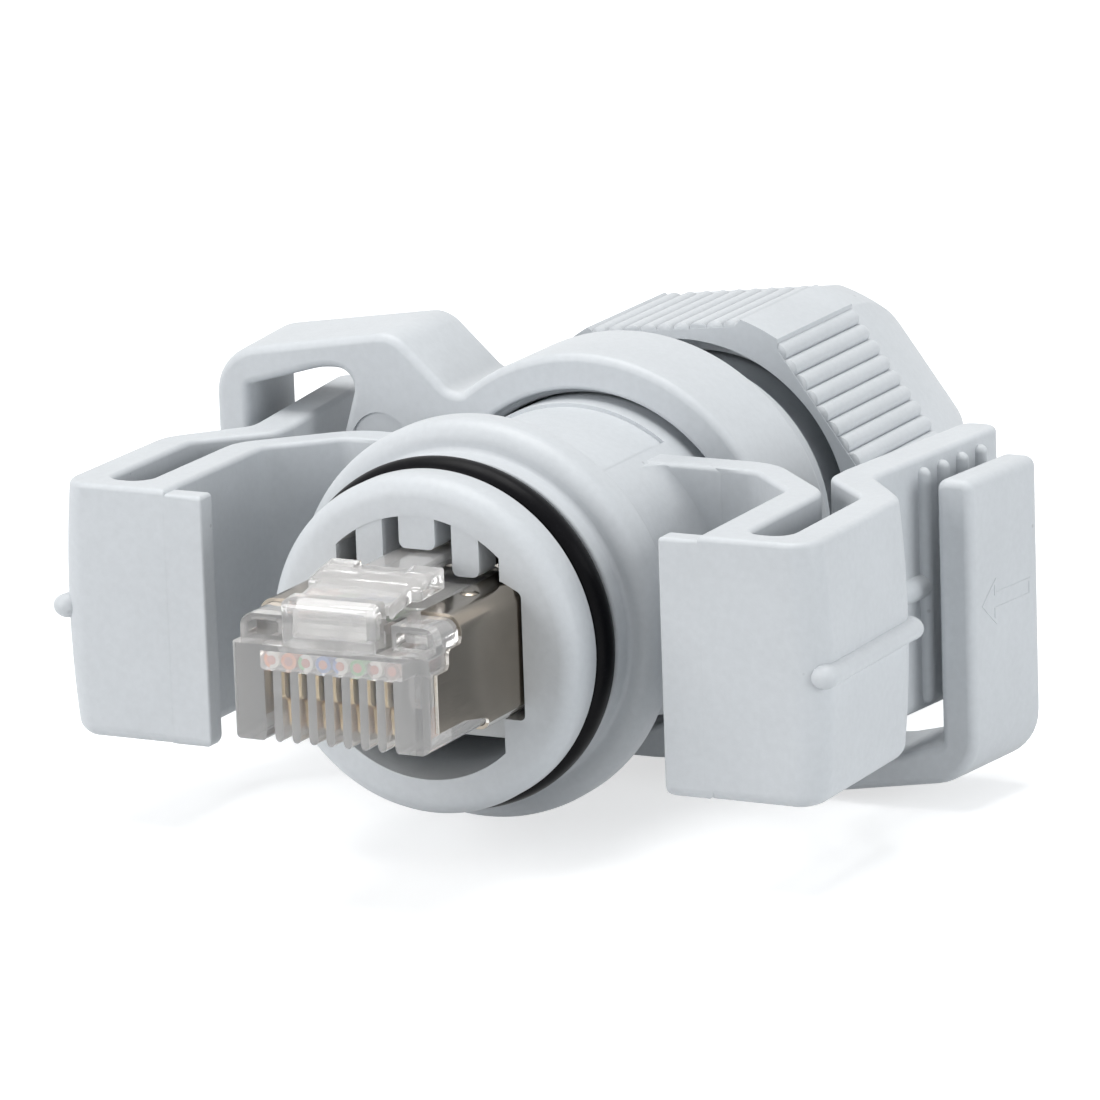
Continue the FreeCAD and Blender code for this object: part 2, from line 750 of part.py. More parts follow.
guard_inner = lever_outer + v.guard_room
guard_front_outer = guard_inner + v.guard_wall
guard_outer = guard_front_outer + v.guard_flare
hood_under = v.wing_half_height + v.hood_room
guard_crown = hood_under + v.hood_thick
hood_top = guard_crown + v.hood_rise
root_out = lever_inner - v.root_room
root_top_out = root_out - v.root_undercut
root_middle = ring_middle * cosine(v.hood_root_angle)
hood = new_sketch(collar, "HoodOutline", "XZ_Plane", -ring_front)
hood_inner_top = hood_under + v.hood_room
hood_corners = [
    (root_middle, ring_middle * sine(v.hood_root_angle)),
    (pivot_out + v.hood_start, hood_top),
    (guard_outer, guard_crown),
    (guard_outer, -v.guard_end),
    (guard_inner, -v.guard_end),
    (guard_inner, hood_under),
    (root_out + v.root_undercut, hood_inner_top),
    (root_top_out, hood_inner_top),
    (root_out, v.wing_half_height - v.root_undercut),
    (root_out, v.root_down),
    (ring_middle, v.root_down),
]
polygon(hood, [(-across, up) for across, up in hood_corners])
solid(collar, "Pad", "Hood", hood, v.ring_long, backwards=True)

lean_cut = new_sketch(collar, "GuardOuterCut", "XY_Plane")
polygon(lean_cut, [
    (-guard_front_outer, ring_front),
    (-guard_outer, ring_back),
    (-guard_outer - 2, ring_back),
    (-guard_outer - 2, ring_front - 1),
    (-guard_front_outer, ring_front - 1),
])
volume = collar.Shape.Volume
solid(collar, "Pocket", "GuardOuterLean", lean_cut, hood_top * 3, middle=True)
volume = volume_step(collar, volume, False, "outer lean")

inner_cut = new_sketch(collar, "GuardInnerCut", "XY_Plane", -v.guard_end - 1)
polygon(inner_cut, [
    (-guard_inner + v.guard_wall / 4, ring_front - 1),
    (-guard_inner, ring_front - 1),
    (-guard_inner, ring_front),
    (-guard_inner - v.guard_flare, ring_back),
    (-guard_inner + v.guard_wall / 4, ring_back),
])
solid(collar, "Pocket", "GuardInnerLean", inner_cut, v.guard_end + 1 + hood_under, backwards=True)
volume = volume_step(collar, volume, False, "inner lean")

eased(collar, "GuardCorner", v.guard_round, lambda e: isinstance(e.Curve, Part.Line)
      and near(e, (-(guard_front_outer + guard_outer) / 2, (ring_front + ring_back) / 2, guard_crown), 0.3))
hood_edges = [(-(pivot_out + v.hood_start), None, hood_top), (-root_top_out, None, hood_inner_top)]
eased(collar, "HoodCorners", v.hood_round, lambda e: along(e, Y_AXIS) and any(near(e, spot) for spot in hood_edges))

mark = new_sketch(collar, "MarkOutline", "XZ_Plane", -ring_front)
circle(mark, -(ring_radius + v.hood_rise / 2), v.wing_half_height - v.hood_room, v.mark_radius)
solid(collar, "Pocket", "Mark", mark, v.mark_deep)
volume = volume_step(collar, volume, False, "mark")

pair = collar.newObject("PartDesign::PolarPattern", "BothHoods")
pair.TransformMode = "Whole shape"
pair.Axis = (ring_outline, ["V_Axis"])
pair.Angle = 360
pair.Occurrences = 2
collar.Tip = pair
doc.recompute()
volume = volume_step(collar, volume, True, "second hood")

flat = new_sketch(collar, "FlatOutline", "XZ_Plane", 1 - ring_front)
rectangle(flat, -ring_middle / 2, ring_middle / 2, -ring_radius - 1, v.ring_flat_cut - ring_radius)
solid(collar, "Pocket", "Flat", flat, v.ring_long + 2)
volume = volume_step(collar, volume, False, "flat")


# Clamp nut: six ribbed flats between smooth corners, with a domed back

nut = new_body("gland_nut")
nut_outline = new_sketch(nut, "NutOutline", "XY_Plane")
dome_end = v.nut_hole_radius + v.nut_rim
dome_drop = nut_barrel - dome_end
dome_radius = (v.nut_dome_long * v.nut_dome_long + dome_drop * dome_drop) / (dome_drop * 2)
dome_centre = nut_barrel - dome_radius
nut_points = [
    (nut_relief, nut_front),
    (nut_barrel, nut_front),
    (nut_barrel, nut_grip_back),
    (dome_end, nut_back),
    (v.nut_hole_radius, nut_back),
    (v.nut_hole_radius, nut_back - v.nut_cone_deep),
    (v.nut_hole_radius + v.nut_cone_step, thrust_back),
    (nut_thread, thrust_back),
    (nut_thread, nut_front + v.nut_relief_deep),
    (nut_relief, nut_front + v.nut_relief_deep),
]
ends = [Vector(size(a).value, size(b).value, 0) for a, b in nut_points]
for number in range(len(ends)):
    if number == 2:
        turn_end = math.asin(v.nut_dome_long.value / dome_radius.value)
        rim = Part.Circle(Vector(dome_centre.value, nut_grip_back.value, 0), Vector(0, 0, 1), dome_radius.value)
        nut_outline.addGeometry(Part.ArcOfCircle(rim, 0, turn_end))
    else:
        nut_outline.addGeometry(Part.LineSegment(ends[number], ends[(number + 1) % len(ends)]))
for number in range(len(ends)):
    nut_outline.addConstraint(Sketcher.Constraint("Coincident", number, 2, (number + 1) % len(ends), 1))
for number, (across, up) in enumerate(nut_points):
    pin(nut_outline, number, 1, across, up)
fixed = nut_outline.addConstraint(Sketcher.Constraint("Radius", 2, dome_radius.value))
bind(nut_outline, "Constraints[%d]" % fixed, dome_radius)
turned(nut, "Revolution", "NutForm", nut_outline)


def pattern_of(body, name, originals, drawing, count):
    made = body.newObject("PartDesign::PolarPattern", name)
    made.Originals = originals
    made.Axis = (drawing, ["V_Axis"])
    made.Angle = 360
    made.Occurrences = count
    body.Tip = made
    doc.recompute()
    if not made.isValid() or made.Shape.isNull():
        raise RuntimeError("pattern failed: " + name)
    return made


floor_outline = new_sketch(nut, "NutFloorOutline", "XZ_Plane", 1 - nut_front)
rectangle(floor_outline, -nut_corner, nut_corner, nut_floor, nut_corner + 1)
volume = nut.Shape.Volume
floor_cut = solid(nut, "Pocket", "NutFloor", floor_outline, nut_back - nut_front + 1)
volume = volume_step(nut, volume, False, "nut floor")
pattern_of(nut, "NutFloors", [floor_cut], nut_outline, 6)

band = new_sketch(nut, "GripBand", "XY_Plane")
rectangle(band, nut_relief + v.nut_wall / 2, nut_corner, nut_front, nut_grip_back)
volume = nut.Shape.Volume
turned(nut, "Revolution", "GripBandForm", band)
volume = volume_step(nut, volume, True, "grip band")
eased(nut, "GripBandEdges", v.edge_bevel, lambda e: (near(e, (None, nut_front, None))
      or near(e, (None, nut_grip_back, None))) and e.Length > 6.2 * nut_corner.value, "Chamfer")

rib_field = v.nut_rib_pitch * 4.5 + v.nut_rib_gap / 2
rib_wall = rib_field + v.nut_rib_slope
side_outline = new_sketch(nut, "NutSideOutline", "XZ_Plane", 1 - nut_front)
polygon(side_outline, [
    (-rib_wall, nut_corner + 1),
    (-rib_wall, nut_crest),
    (-rib_field, nut_floor),
    (rib_field, nut_floor),
    (rib_wall, nut_crest),
    (rib_wall, nut_corner + 1),
])
volume = nut.Shape.Volume
side_cut = solid(nut, "Pocket", "NutSide", side_outline, v.nut_grip_long + 2)
volume = volume_step(nut, volume, False, "nut side")

rib_outline = new_sketch(nut, "NutRibOutline", "XZ_Plane", -nut_front)
for number in range(9):
    centre = v.nut_rib_pitch * (number - 4)
    foot = v.nut_rib_pitch / 2 - v.nut_rib_gap / 2
    crest = foot - v.nut_rib_slope
    polygon(rib_outline, [
        (centre - foot, nut_floor - v.nut_wall / 4),
        (centre + foot, nut_floor - v.nut_wall / 4),
        (centre + foot, nut_floor),
        (centre + crest, nut_crest),
        (centre - crest, nut_crest),
        (centre - foot, nut_floor),
    ])
rib_pad = solid(nut, "Pad", "NutRibs", rib_outline, v.nut_grip_long, backwards=True)
volume = volume_step(nut, volume, True, "nut ribs")
pattern_of(nut, "NutSides", [side_cut, rib_pad], nut_outline, 6)
nut.Placement = Placement(Vector(0, 0, 0), Rotation(Y_AXIS, v.nut_clock.value))
bind(nut, "Placement.Rotation.Angle", v.nut_clock)


# Thrust ring between the nut and the cable clamp

thrust = new_body("thrust_ring")
thrust_outline = new_sketch(thrust, "ThrustOutline", "XY_Plane")
rectangle(thrust_outline, neck_radius - v.thrust_wall, neck_radius, thrust_front, thrust_back)
turned(thrust, "Revolution", "ThrustForm", thrust_outline)


# Clamp cage: a slotted sleeve in the neck, with a flange on the neck's end

cage = new_body("clamp_cage")
cage_outer = v.bore_radius - v.cage_play
cage_inner = cage_outer - v.cage_wall
cage_front = neck_back - v.cage_long
cage_outline = new_sketch(cage, "CageOutline", "XY_Plane")
polygon(cage_outline, [
    (cage_inner, cage_front),
    (cage_outer, cage_front),
    (cage_outer, neck_back),
    (neck_radius, neck_back),
    (neck_radius, thrust_front),
    (cage_inner - v.cage_lip, thrust_front),
    (cage_inner - v.cage_lip, thrust_front - v.cage_lip_thick),
    (cage_inner, thrust_front - v.cage_lip_thick),
])
turned(cage, "Revolution", "CageForm", cage_outline)
cage_cut = new_sketch(cage, "CageSlotOutline", "XY_Plane")
rectangle(cage_cut, -v.cage_slot / 2, v.cage_slot / 2, cage_front - 1, neck_back - v.cage_slot_left)
volume = cage.Shape.Volume
cage_slot = solid(cage, "Pocket", "CageSlot", cage_cut, v.bore_radius * 2, middle=True)
volume = volume_step(cage, volume, False, "cage slot")
pattern_of(cage, "CageSlots", [cage_slot], cage_outline, 6)


# Rubber sleeve that grips the cable

seal = new_body("cable_seal")
seal_outline = new_sketch(seal, "SealOutline", "XY_Plane")
rectangle(seal_outline, v.cable_radius, cage_inner - v.cable_seal_play,
          cage_front + v.cable_seal_short, thrust_front - v.cage_lip_thick)
turned(seal, "Revolution", "SealForm", seal_outline)


# Cradle: a shelf under the modular plug and a disc against the ledge in the bore

cradle = new_body("plug_cradle")
disc = new_sketch(cradle, "CradleDisc", "XZ_Plane", -bore_front)
circle(disc, 0, 0, v.bore_radius - v.cradle_play)
solid(cradle, "Pad", "CradleDiscForm", disc, v.cradle_disc_thick, backwards=True)
shelf = new_sketch(cradle, "CradleShelf", "XZ_Plane", v.cradle_front)
shelf_half = mouth_half - v.cradle_play
rectangle(shelf, -shelf_half, shelf_half, plug_floor - v.cradle_thick, plug_floor)
solid(cradle, "Pad", "CradleShelfForm", shelf, v.cradle_front + bore_front + v.cradle_disc_thick / 2, backwards=True)
window = new_sketch(cradle, "CradleWindow", "XZ_Plane", 1 - bore_front)
window_half = channel_half + v.cradle_window_side
rectangle(window, -window_half, window_half, v.wire_up - v.cradle_window_down, v.wire_up + v.cradle_window_up)
volume = cradle.Shape.Volume
solid(cradle, "Pocket", "CradleWindowCut", window, v.cradle_disc_thick + 2)
volume = volume_step(cradle, volume, False, "cradle window")


# Modular plug: clear body with eight blade slots, a wire channel and a rear chamber

plug = new_body("plug_body")
block = new_sketch(plug, "PlugBlock", "XZ_Plane", v.plug_reach)
rectangle(block, -plug_half, plug_half, -v.plug_down, plug_up)
solid(plug, "Pad", "PlugBlockForm", block, v.plug_long, backwards=True)

step = new_sketch(plug, "PlugStep", "XZ_Plane", v.plug_reach)
rectangle(step, -plug_half - 1, plug_half + 1, plug_ledge, plug_up + 1)
volume = plug.Shape.Volume
solid(plug, "Pocket", "PlugStepCut", step, v.plug_set_back)
volume = volume_step(plug, volume, False, "plug step")
eased(plug, "PlugFrontCorners", v.plug_corner, lambda e: along(e, Z_AXIS)
      and near(e, (None, -v.plug_reach, None)) and abs(abs(e.CenterOfMass.x) - plug_half.value) < 0.01)

rows = new_sketch(plug, "BladeSlots", "XZ_Plane", v.plug_reach)
slot_wide = v.blade_thick + v.blade_play
for number in range(8):
    centre = pitch * (number - 3.5)
    rectangle(rows, centre - slot_wide / 2, centre + slot_wide / 2, -v.plug_down - 1, v.wire_up - v.wire_radius)
solid(plug, "Pocket", "BladeSlotCut", rows, v.slot_long)
volume = volume_step(plug, volume, False, "blade slots")

channel_low = v.wire_up - v.wire_radius - v.wire_room
channel_high = v.wire_up + v.wire_radius + v.wire_room
channel = new_sketch(plug, "WireChannel", "XZ_Plane", wire_reach + v.wire_room)
rectangle(channel, -channel_half, channel_half, channel_low, channel_high)
solid(plug, "Pocket", "WireChannelCut", channel, wire_reach + plug_back + 1)
volume = volume_step(plug, volume, False, "wire channel")

chamber_front = v.plug_reach - v.chamber_set_back
chamber = new_sketch(plug, "RearChamber", "XZ_Plane", chamber_front)
rectangle(chamber, -chamber_half, chamber_half, -v.chamber_down, chamber_up)
solid(plug, "Pocket", "RearChamberCut", chamber, chamber_front + plug_back + 1)
volume = volume_step(plug, volume, False, "rear chamber")

tab_root = new_sketch(plug, "TabRoot", "YZ_Plane")
rectangle(tab_root, -tab_root_front, -tab_pivot - v.tab_thick / 4, plug_ledge, tab_height + v.tab_thick / 2)
solid(plug, "Pad", "TabRootForm", tab_root, v.tab_half * 2, middle=True)
volume = volume_step(plug, volume, True, "tab root")

tab_socket = new_sketch(plug, "TabSocket", "YZ_Plane")
circle(tab_socket, -tab_pivot, tab_height, v.tab_thick / 2 + v.tab_play)
solid(plug, "Pocket", "TabSocketCut", tab_socket, plug_half * 2, middle=True)
volume = volume_step(plug, volume, False, "tab socket")


# Springy tab on top of the modular plug

tab = new_body("plug_tab")
tab_side = new_sketch(tab, "TabSide", "YZ_Plane")


def tab_line(reach):
    """Height of the tab's middle at a distance in front of the flange face."""
    return tab_height + (tab_pivot - reach) * tangent(v.tab_tilt_angle)


half_tab = v.tab_thick / 2
polygon(tab_side, [
    (-tab_pivot, tab_height - half_tab),
    (-tab_shoulder_back, tab_line(tab_shoulder_back) - half_tab),
    (-tab_shoulder_back, tab_line(tab_shoulder_back) + half_tab),
    (-tab_pivot, tab_height + half_tab),
])
solid(tab, "Pad", "TabArm", tab_side, v.tab_half * 2, middle=True)
tab_eye = new_sketch(tab, "TabEye", "YZ_Plane")
circle(tab_eye, -tab_pivot, tab_height, half_tab)
solid(tab, "Pad", "TabBarrel", tab_eye, v.tab_half * 2, middle=True)
shoulder = new_sketch(tab, "TabShoulder", "YZ_Plane")
polygon(shoulder, [
    (-tab_shoulder_front, tab_line(tab_shoulder_front) - half_tab + v.tab_gap),
    (-tab_shoulder_back, tab_line(tab_shoulder_back) - half_tab - v.tab_shoulder_deep),
    (-tab_shoulder_back, tab_line(tab_shoulder_back) + half_tab + v.tab_gap),
    (-tab_shoulder_front, tab_line(tab_shoulder_front) + half_tab + v.tab_gap),
])
solid(tab, "Pad", "TabShoulderForm", shoulder, tab_shoulder_half * 2, middle=True)
tail = new_sketch(tab, "TabTail", "YZ_Plane")
polygon(tail, [
    (-tab_shoulder_back - v.tab_shoulder_deep, tab_line(tab_shoulder_back) - half_tab),
    (-tab_tail_back - v.tab_tail_long * 0.4, tab_tail_up - v.tab_tail_thick),
    (-tab_tail_back, tab_tail_up - v.tab_tail_thick),
    (-tab_tail_back, tab_tail_up),
    (-tab_tail_back - v.tab_tail_long / 2, tab_tail_up),
    (-tab_shoulder_back - v.tab_shoulder_deep, tab_line(tab_shoulder_back) + half_tab),
])
solid(tab, "Pad", "TabTailForm", tail, v.tab_tail_half * 2, middle=True)


# Folded metal shield round the modular plug

shield = new_body("plug_shield")
shield_front = v.plug_reach - v.shield_set_back
shield_back = plug_back - v.shield_short
shield_step_reach = shield_front + v.shield_step_long
shield_tip_reach = shield_step_reach + v.shield_tip_long
shield_wrap_front = shield_front - v.shield_wrap_back
wrap = new_sketch(shield, "ShieldWrap", "XZ_Plane", shield_front)
rectangle(wrap, -shield_out, shield_out, plug_floor, shield_top)
rectangle(wrap, -shield_in, shield_in, -v.plug_down, plug_up)
solid(shield, "Pad", "ShieldWrapForm", wrap, shield_front + shield_back, backwards=True)
under = new_sketch(shield, "ShieldUnder", "YZ_Plane")
polygon(under, [
    (-shield_front - 1, plug_floor - 1),
    (-shield_wrap_front, plug_floor - 1),
    (-shield_wrap_front, plug_floor + (v.plug_down - v.shield_tip_down) / 2),
    (-shield_front - 1, -v.shield_tip_down),
])
volume = shield.Shape.Volume
solid(shield, "Pocket", "ShieldUnderCut", under, plug_half * 3, middle=True)
volume = volume_step(shield, volume, False, "shield underside")
notch = new_sketch(shield, "ShieldNotch", "XY_Plane", plug_up - v.shield_sheet)
notch_half = tab_shoulder_half + v.shield_notch_side
rectangle(notch, -notch_half, notch_half, -shield_front - 1, -v.shield_notch_back)
solid(shield, "Pocket", "ShieldNotchCut", notch, 2, backwards=True)
volume = volume_step(shield, volume, False, "shield notch")
for name, side in (("Right", 1), ("Left", -1)):
    cheek = new_sketch(shield, "ShieldCheek" + name, "YZ_Plane", side * shield_in)
    polygon(cheek, [
        (-shield_front + v.shield_sheet, v.shield_step_up),
        (-shield_step_reach, v.shield_step_up),
        (-shield_step_reach, v.shield_tip_up),
        (-shield_tip_reach, v.shield_tip_up),
        (-shield_tip_reach, -v.shield_tip_down),
        (-shield_front + v.shield_sheet, -v.shield_tip_down),
    ])
    solid(shield, "Pad", "ShieldCheekForm" + name, cheek, v.shield_sheet, backwards=side < 0)
    volume = volume_step(shield, volume, True, "shield cheek")


# Load bar that keeps the eight conductors in line

bar = new_body("load_bar")
bar_block = new_sketch(bar, "BarBlock", "XZ_Plane", chamber_front)
bar_half = chamber_half - v.bar_play
rectangle(bar_block, -bar_half, bar_half, v.wire_up - v.bar_half_height, v.wire_up + v.bar_half_height)
for number in range(8):
    circle(bar_block, pitch * (number - 3.5), v.wire_up, v.wire_radius + v.wire_room)
solid(bar, "Pad", "BarForm", bar_block, v.bar_long, backwards=True)


# Eight contact blades and the eight conductors that they cut into

blade_reach = v.plug_reach - v.blade_set_back
blade_down = v.plug_down - v.blade_recess
for number in range(8):
    across = pitch * (number - 3.5)
    label = "contact_%d" % (number + 1)
    blade = new_body(label)
    face = new_sketch(blade, label + "_side", "YZ_Plane", across)
    back = v.blade_long - blade_reach
    crotch = v.blade_tip - v.blade_long / 4
    polygon(face, [
        (-blade_reach, -blade_down),
        (back, -blade_down),
        (back, v.blade_tip),
        (back - v.blade_long / 4, crotch),
        (back - v.blade_long / 2, v.blade_tip),
        (back - v.blade_long * 3 / 4, crotch),
        (-blade_reach, crotch + v.wire_room),
    ])
    solid(blade, "Pad", label + "_plate", face, v.blade_thick, middle=True)

    label = "conductor_%d" % (number + 1)
    wire = doc.addObject("Part::Cylinder", label)
    wire.Label = label
    bind(wire, "Radius", v.wire_radius)
    bind(wire, "Height", wire_reach + bore_front + v.wire_tail)
    start = Vector(across.value, -wire_reach.value, v.wire_up.value)
    wire.Placement = Placement(start, Rotation(X_AXIS, -90))
    bind(wire, "Placement.Base.x", across)
    bind(wire, "Placement.Base.y", -wire_reach)
    bind(wire, "Placement.Base.z", v.wire_up)
    parts[label] = wire

doc.recompute()

for item in doc.Objects:
    if "Invalid" in item.State or "Error" in item.State:
        raise RuntimeError("not built: " + item.Name)

os.makedirs("parts", exist_ok=True)
for label, item in parts.items():
    shape = item.Shape
    if shape.isNull() or not shape.isValid() or len(shape.Solids) != 1:
        raise RuntimeError("bad shape: %s, %d solids" % (label, len(shape.Solids)))
    shape.exportStep("parts/%s.step" % label)
    print("%-18s %9.3f mm3" % (label, shape.Volume))
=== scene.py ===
import math
import bmesh
import bpy
from mathutils import Matrix, Vector


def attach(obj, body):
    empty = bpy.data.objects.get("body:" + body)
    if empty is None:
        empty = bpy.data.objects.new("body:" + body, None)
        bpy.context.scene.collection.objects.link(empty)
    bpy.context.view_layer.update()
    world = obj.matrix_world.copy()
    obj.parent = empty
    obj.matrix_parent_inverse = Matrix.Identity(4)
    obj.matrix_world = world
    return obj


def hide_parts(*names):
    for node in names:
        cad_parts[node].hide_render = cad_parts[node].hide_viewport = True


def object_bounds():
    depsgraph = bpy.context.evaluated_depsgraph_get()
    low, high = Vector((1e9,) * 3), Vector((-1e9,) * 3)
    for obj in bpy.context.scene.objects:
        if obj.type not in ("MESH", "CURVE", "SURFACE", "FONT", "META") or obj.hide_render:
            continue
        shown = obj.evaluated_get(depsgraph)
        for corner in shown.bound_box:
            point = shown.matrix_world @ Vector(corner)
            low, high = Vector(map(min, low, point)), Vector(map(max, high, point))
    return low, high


bpy.ops.wm.read_factory_settings(use_empty=True)
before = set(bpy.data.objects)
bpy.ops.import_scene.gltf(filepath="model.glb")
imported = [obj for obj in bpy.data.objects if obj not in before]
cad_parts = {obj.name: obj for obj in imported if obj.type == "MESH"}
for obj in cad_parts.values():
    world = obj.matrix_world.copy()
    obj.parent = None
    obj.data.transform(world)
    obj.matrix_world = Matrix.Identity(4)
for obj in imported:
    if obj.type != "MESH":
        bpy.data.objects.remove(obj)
cad_low, cad_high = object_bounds()


# ---- Housing ----
# One light grey moulding: a stepped round nose with a seal groove, a flange that stops on the
# socket, a smooth barrel with a sunk panel on top, and two stubs that the side arms grow from.
# Satin glass-filled plastic out of a steel mould, so every edge is a little soft.

MM = 0.001
LIGHT_GREY = (0.600, 0.624, 0.648, 1.0)


def shape(name, points, faces):
    """A mesh object from points in millimetres."""
    mesh = bpy.data.meshes.new(name)
    mesh.from_pydata([Vector(p) * MM for p in points], [], faces)
    mesh.update()
    piece = bpy.data.objects.new(name, mesh)
    bpy.context.scene.collection.objects.link(piece)
    return piece


def face_outwards(piece):
    """Merges doubled points and turns every closed shell of the piece the right way out."""
    work = bmesh.new()
    work.from_mesh(piece.data)
    bmesh.ops.remove_doubles(work, verts=work.verts, dist=1e-7)
    bmesh.ops.dissolve_degenerate(work, edges=work.edges, dist=1e-7)
    bmesh.ops.recalc_face_normals(work, faces=work.faces)
    left = set(work.faces)
    while left:
        shell, front = set(), [left.pop()]
        while front:
            face = front.pop()
            shell.add(face)
            for edge in face.edges:
                for other in edge.link_faces:
                    if other in left:
                        left.discard(other)
                        front.append(other)
        inside = sum(face.normal.dot(face.calc_center_median()) * face.calc_area() for face in shell)
        if inside < 0:
            bmesh.ops.reverse_faces(work, faces=list(shell))
    work.to_mesh(piece.data)
    work.free()


def rounded(corners, steps=6):
    """A closed outline whose corners (a, b, radius) are rounded with arcs of that radius."""
    outline = []
    count = len(corners)
    for number, (a, b, *rest) in enumerate(corners):
        radius = rest[0] if rest else 0.0
        here = Vector((a, b))
        if radius <= 0:
            outline.append((a, b))
            continue
        before = (Vector(corners[number - 1][:2]) - here).normalized()
        after = (Vector(corners[(number + 1) % count][:2]) - here).normalized()
        opening = before.angle(after)
        reach = radius / math.tan(opening / 2)
        centre = here + (before + after).normalized() * (radius / math.sin(opening / 2))
        start = here + before * reach - centre
        stop = here + after * reach - centre
        sweep = start.angle_signed(stop)
        for step in range(steps + 1):
            turn = -sweep * step / steps
            spoke = Vector((start.x * math.cos(turn) - start.y * math.sin(turn),
                            start.x * math.sin(turn) + start.y * math.cos(turn)))
            outline.append(tuple(centre + spoke))
    return outline


def oblong(half, low, high, low_round, high_round, steps=6):
    """A rectangle about the middle, with one radius on its two low corners and one on its high ones."""
    return rounded([(-half, low, low_round), (half, low, low_round), (half, high, high_round),
                    (-half, high, high_round)], steps)


def lathe(name, profile, turns=144, first=0.0, sweep=360.0):
    """A solid turned about the Y axis from a closed outline of (radius, y)."""
    full = sweep >= 360.0
    rings = turns if full else turns + 1
    points = []
    for ring in range(rings):
        angle = math.radians(first + sweep * ring / turns)
        points += [(radius * math.cos(angle), y, radius * math.sin(angle)) for radius, y in profile]
    count = len(profile)
    faces = []
    for ring in range(turns):
        a = ring * count
        b = ((ring + 1) % rings) * count
        for k in range(count):
            n = (k + 1) % count
            if profile[k][0] < 1e-9 and profile[n][0] < 1e-9:
                continue
            faces.append((a + k, a + n, b + n, b + k))
    if not full:
        faces.append(tuple(range(count)))
        faces.append(tuple(reversed(range((rings - 1) * count, rings * count))))
    piece = shape(name, points, faces)
    face_outwards(piece)
    return piece


def stacked_faces(count, levels):
    """The faces of a stack of closed outlines of the same count of points, with its two ends."""
    faces = [tuple(range(count)), tuple(range((levels - 1) * count, levels * count))]
    for level in range(levels - 1):
        for k in range(count):
            n = (k + 1) % count
            base = level * count
            faces.append((base + k, base + n, base + count + n, base + count + k))
    return faces


def circle(radius, count, sweep=math.tau, first=0.0):
    """Points round a centre at (0, 0)."""
    return [(radius * math.cos(first + sweep * step / count), radius * math.sin(first + sweep * step / count))
            for step in range(count)]


def prism(name, outline, low, high, axis="Z"):
    """A solid drawn in the plane across an axis and stretched along it. Y uses (x, z), X uses (y, z)."""
    def place(a, b, c):
        return {"Z": (a, b, c), "Y": (a, c, b), "X": (c, a, b)}[axis]
    points = [place(a, b, low) for a, b in outline] + [place(a, b, high) for a, b in outline]
    piece = shape(name, points, stacked_faces(len(outline), 2))
    face_outwards(piece)
    return piece


def settle(piece):
    """Makes a plain mesh of the piece as its modifiers leave it, and removes them."""
    made = bpy.data.meshes.new_from_object(piece.evaluated_get(bpy.context.evaluated_depsgraph_get()))
    piece.modifiers.clear()
    piece.data = made
    return piece


def combine(piece, *others, how="DIFFERENCE"):
    """Cuts the others out of the piece, or adds them to it, and removes them."""
    for other in others:
        step = piece.modifiers.new("with_" + other.name, "BOOLEAN")
        step.operation = how
        step.solver = "MANIFOLD"
        step.object = other
        settle(piece)
        bpy.data.objects.remove(other)
    return piece


def shade_smooth(piece):
    for face in piece.data.polygons:
        face.use_smooth = True


def soften(piece, width, angle=32.0, segments=3, sharp=None, flatten=0.6):
    """Rounds the sharp edges as a mould does, except where sharp(point) says no, and shades smooth."""
    work = bmesh.new()
    work.from_mesh(piece.data)
    bmesh.ops.remove_doubles(work, verts=work.verts, dist=3e-6)
    bmesh.ops.dissolve_limit(work, angle_limit=math.radians(flatten), verts=work.verts, edges=work.edges)
    bmesh.ops.dissolve_degenerate(work, edges=work.edges, dist=3e-6)
    layer = work.edges.layers.float.get("bevel_weight_edge") or work.edges.layers.float.new("bevel_weight_edge")
    for edge in work.edges:
        if len(edge.link_faces) == 2 and edge.calc_face_angle() > math.radians(angle):
            middle = (edge.verts[0].co + edge.verts[1].co) / 2 / MM
            left = bool(sharp and sharp(middle))
            edge[layer] = 0.0 if left else 1.0
            edge.smooth = not left
        else:
            edge[layer] = 0.0
    work.to_mesh(piece.data)
    work.free()
    shade_smooth(piece)
    bevel = piece.modifiers.new("soft_edges", "BEVEL")
    bevel.width = width * MM
    bevel.segments = segments
    bevel.limit_method = "WEIGHT"
    bevel.miter_outer = "MITER_ARC"
    bevel.use_clamp_overlap = True
    bevel.harden_normals = True
    return piece


def dress(piece, material):
    piece.data.materials.clear()
    piece.data.materials.append(material)


def group_with(name, inputs, outputs):
    """A shader node group with named sockets, and its two ends."""
    tree = bpy.data.node_groups.new(name, "ShaderNodeTree")
    for label, kind, value in inputs:
        made = tree.interface.new_socket(name=label, in_out="INPUT", socket_type=kind)
        if value is not None:
            made.default_value = value
    for label, kind in outputs:
        tree.interface.new_socket(name=label, in_out="OUTPUT", socket_type=kind)
    return tree, tree.nodes.new("NodeGroupInput"), tree.nodes.new("NodeGroupOutput")


def result(tree, kind, inputs=None, output=0, **settings):
    """The output of a new node of this kind, whose inputs are given values or sockets to link."""
    made = tree.nodes.new(kind)
    for label, value in settings.items():
        setattr(made, label, value)
    for label, value in (inputs or {}).items():
        if isinstance(value, bpy.types.NodeSocket):
            tree.links.new(value, made.inputs[label])
        else:
            made.inputs[label].default_value = value
    return made.outputs[output]


def noise(tree, vector, scale, detail=3.0, rough=0.5):
    return result(tree, "ShaderNodeTexNoise", {"Vector": vector, "Scale": scale, "Detail": detail,
                                               "Roughness": rough}, "Fac")


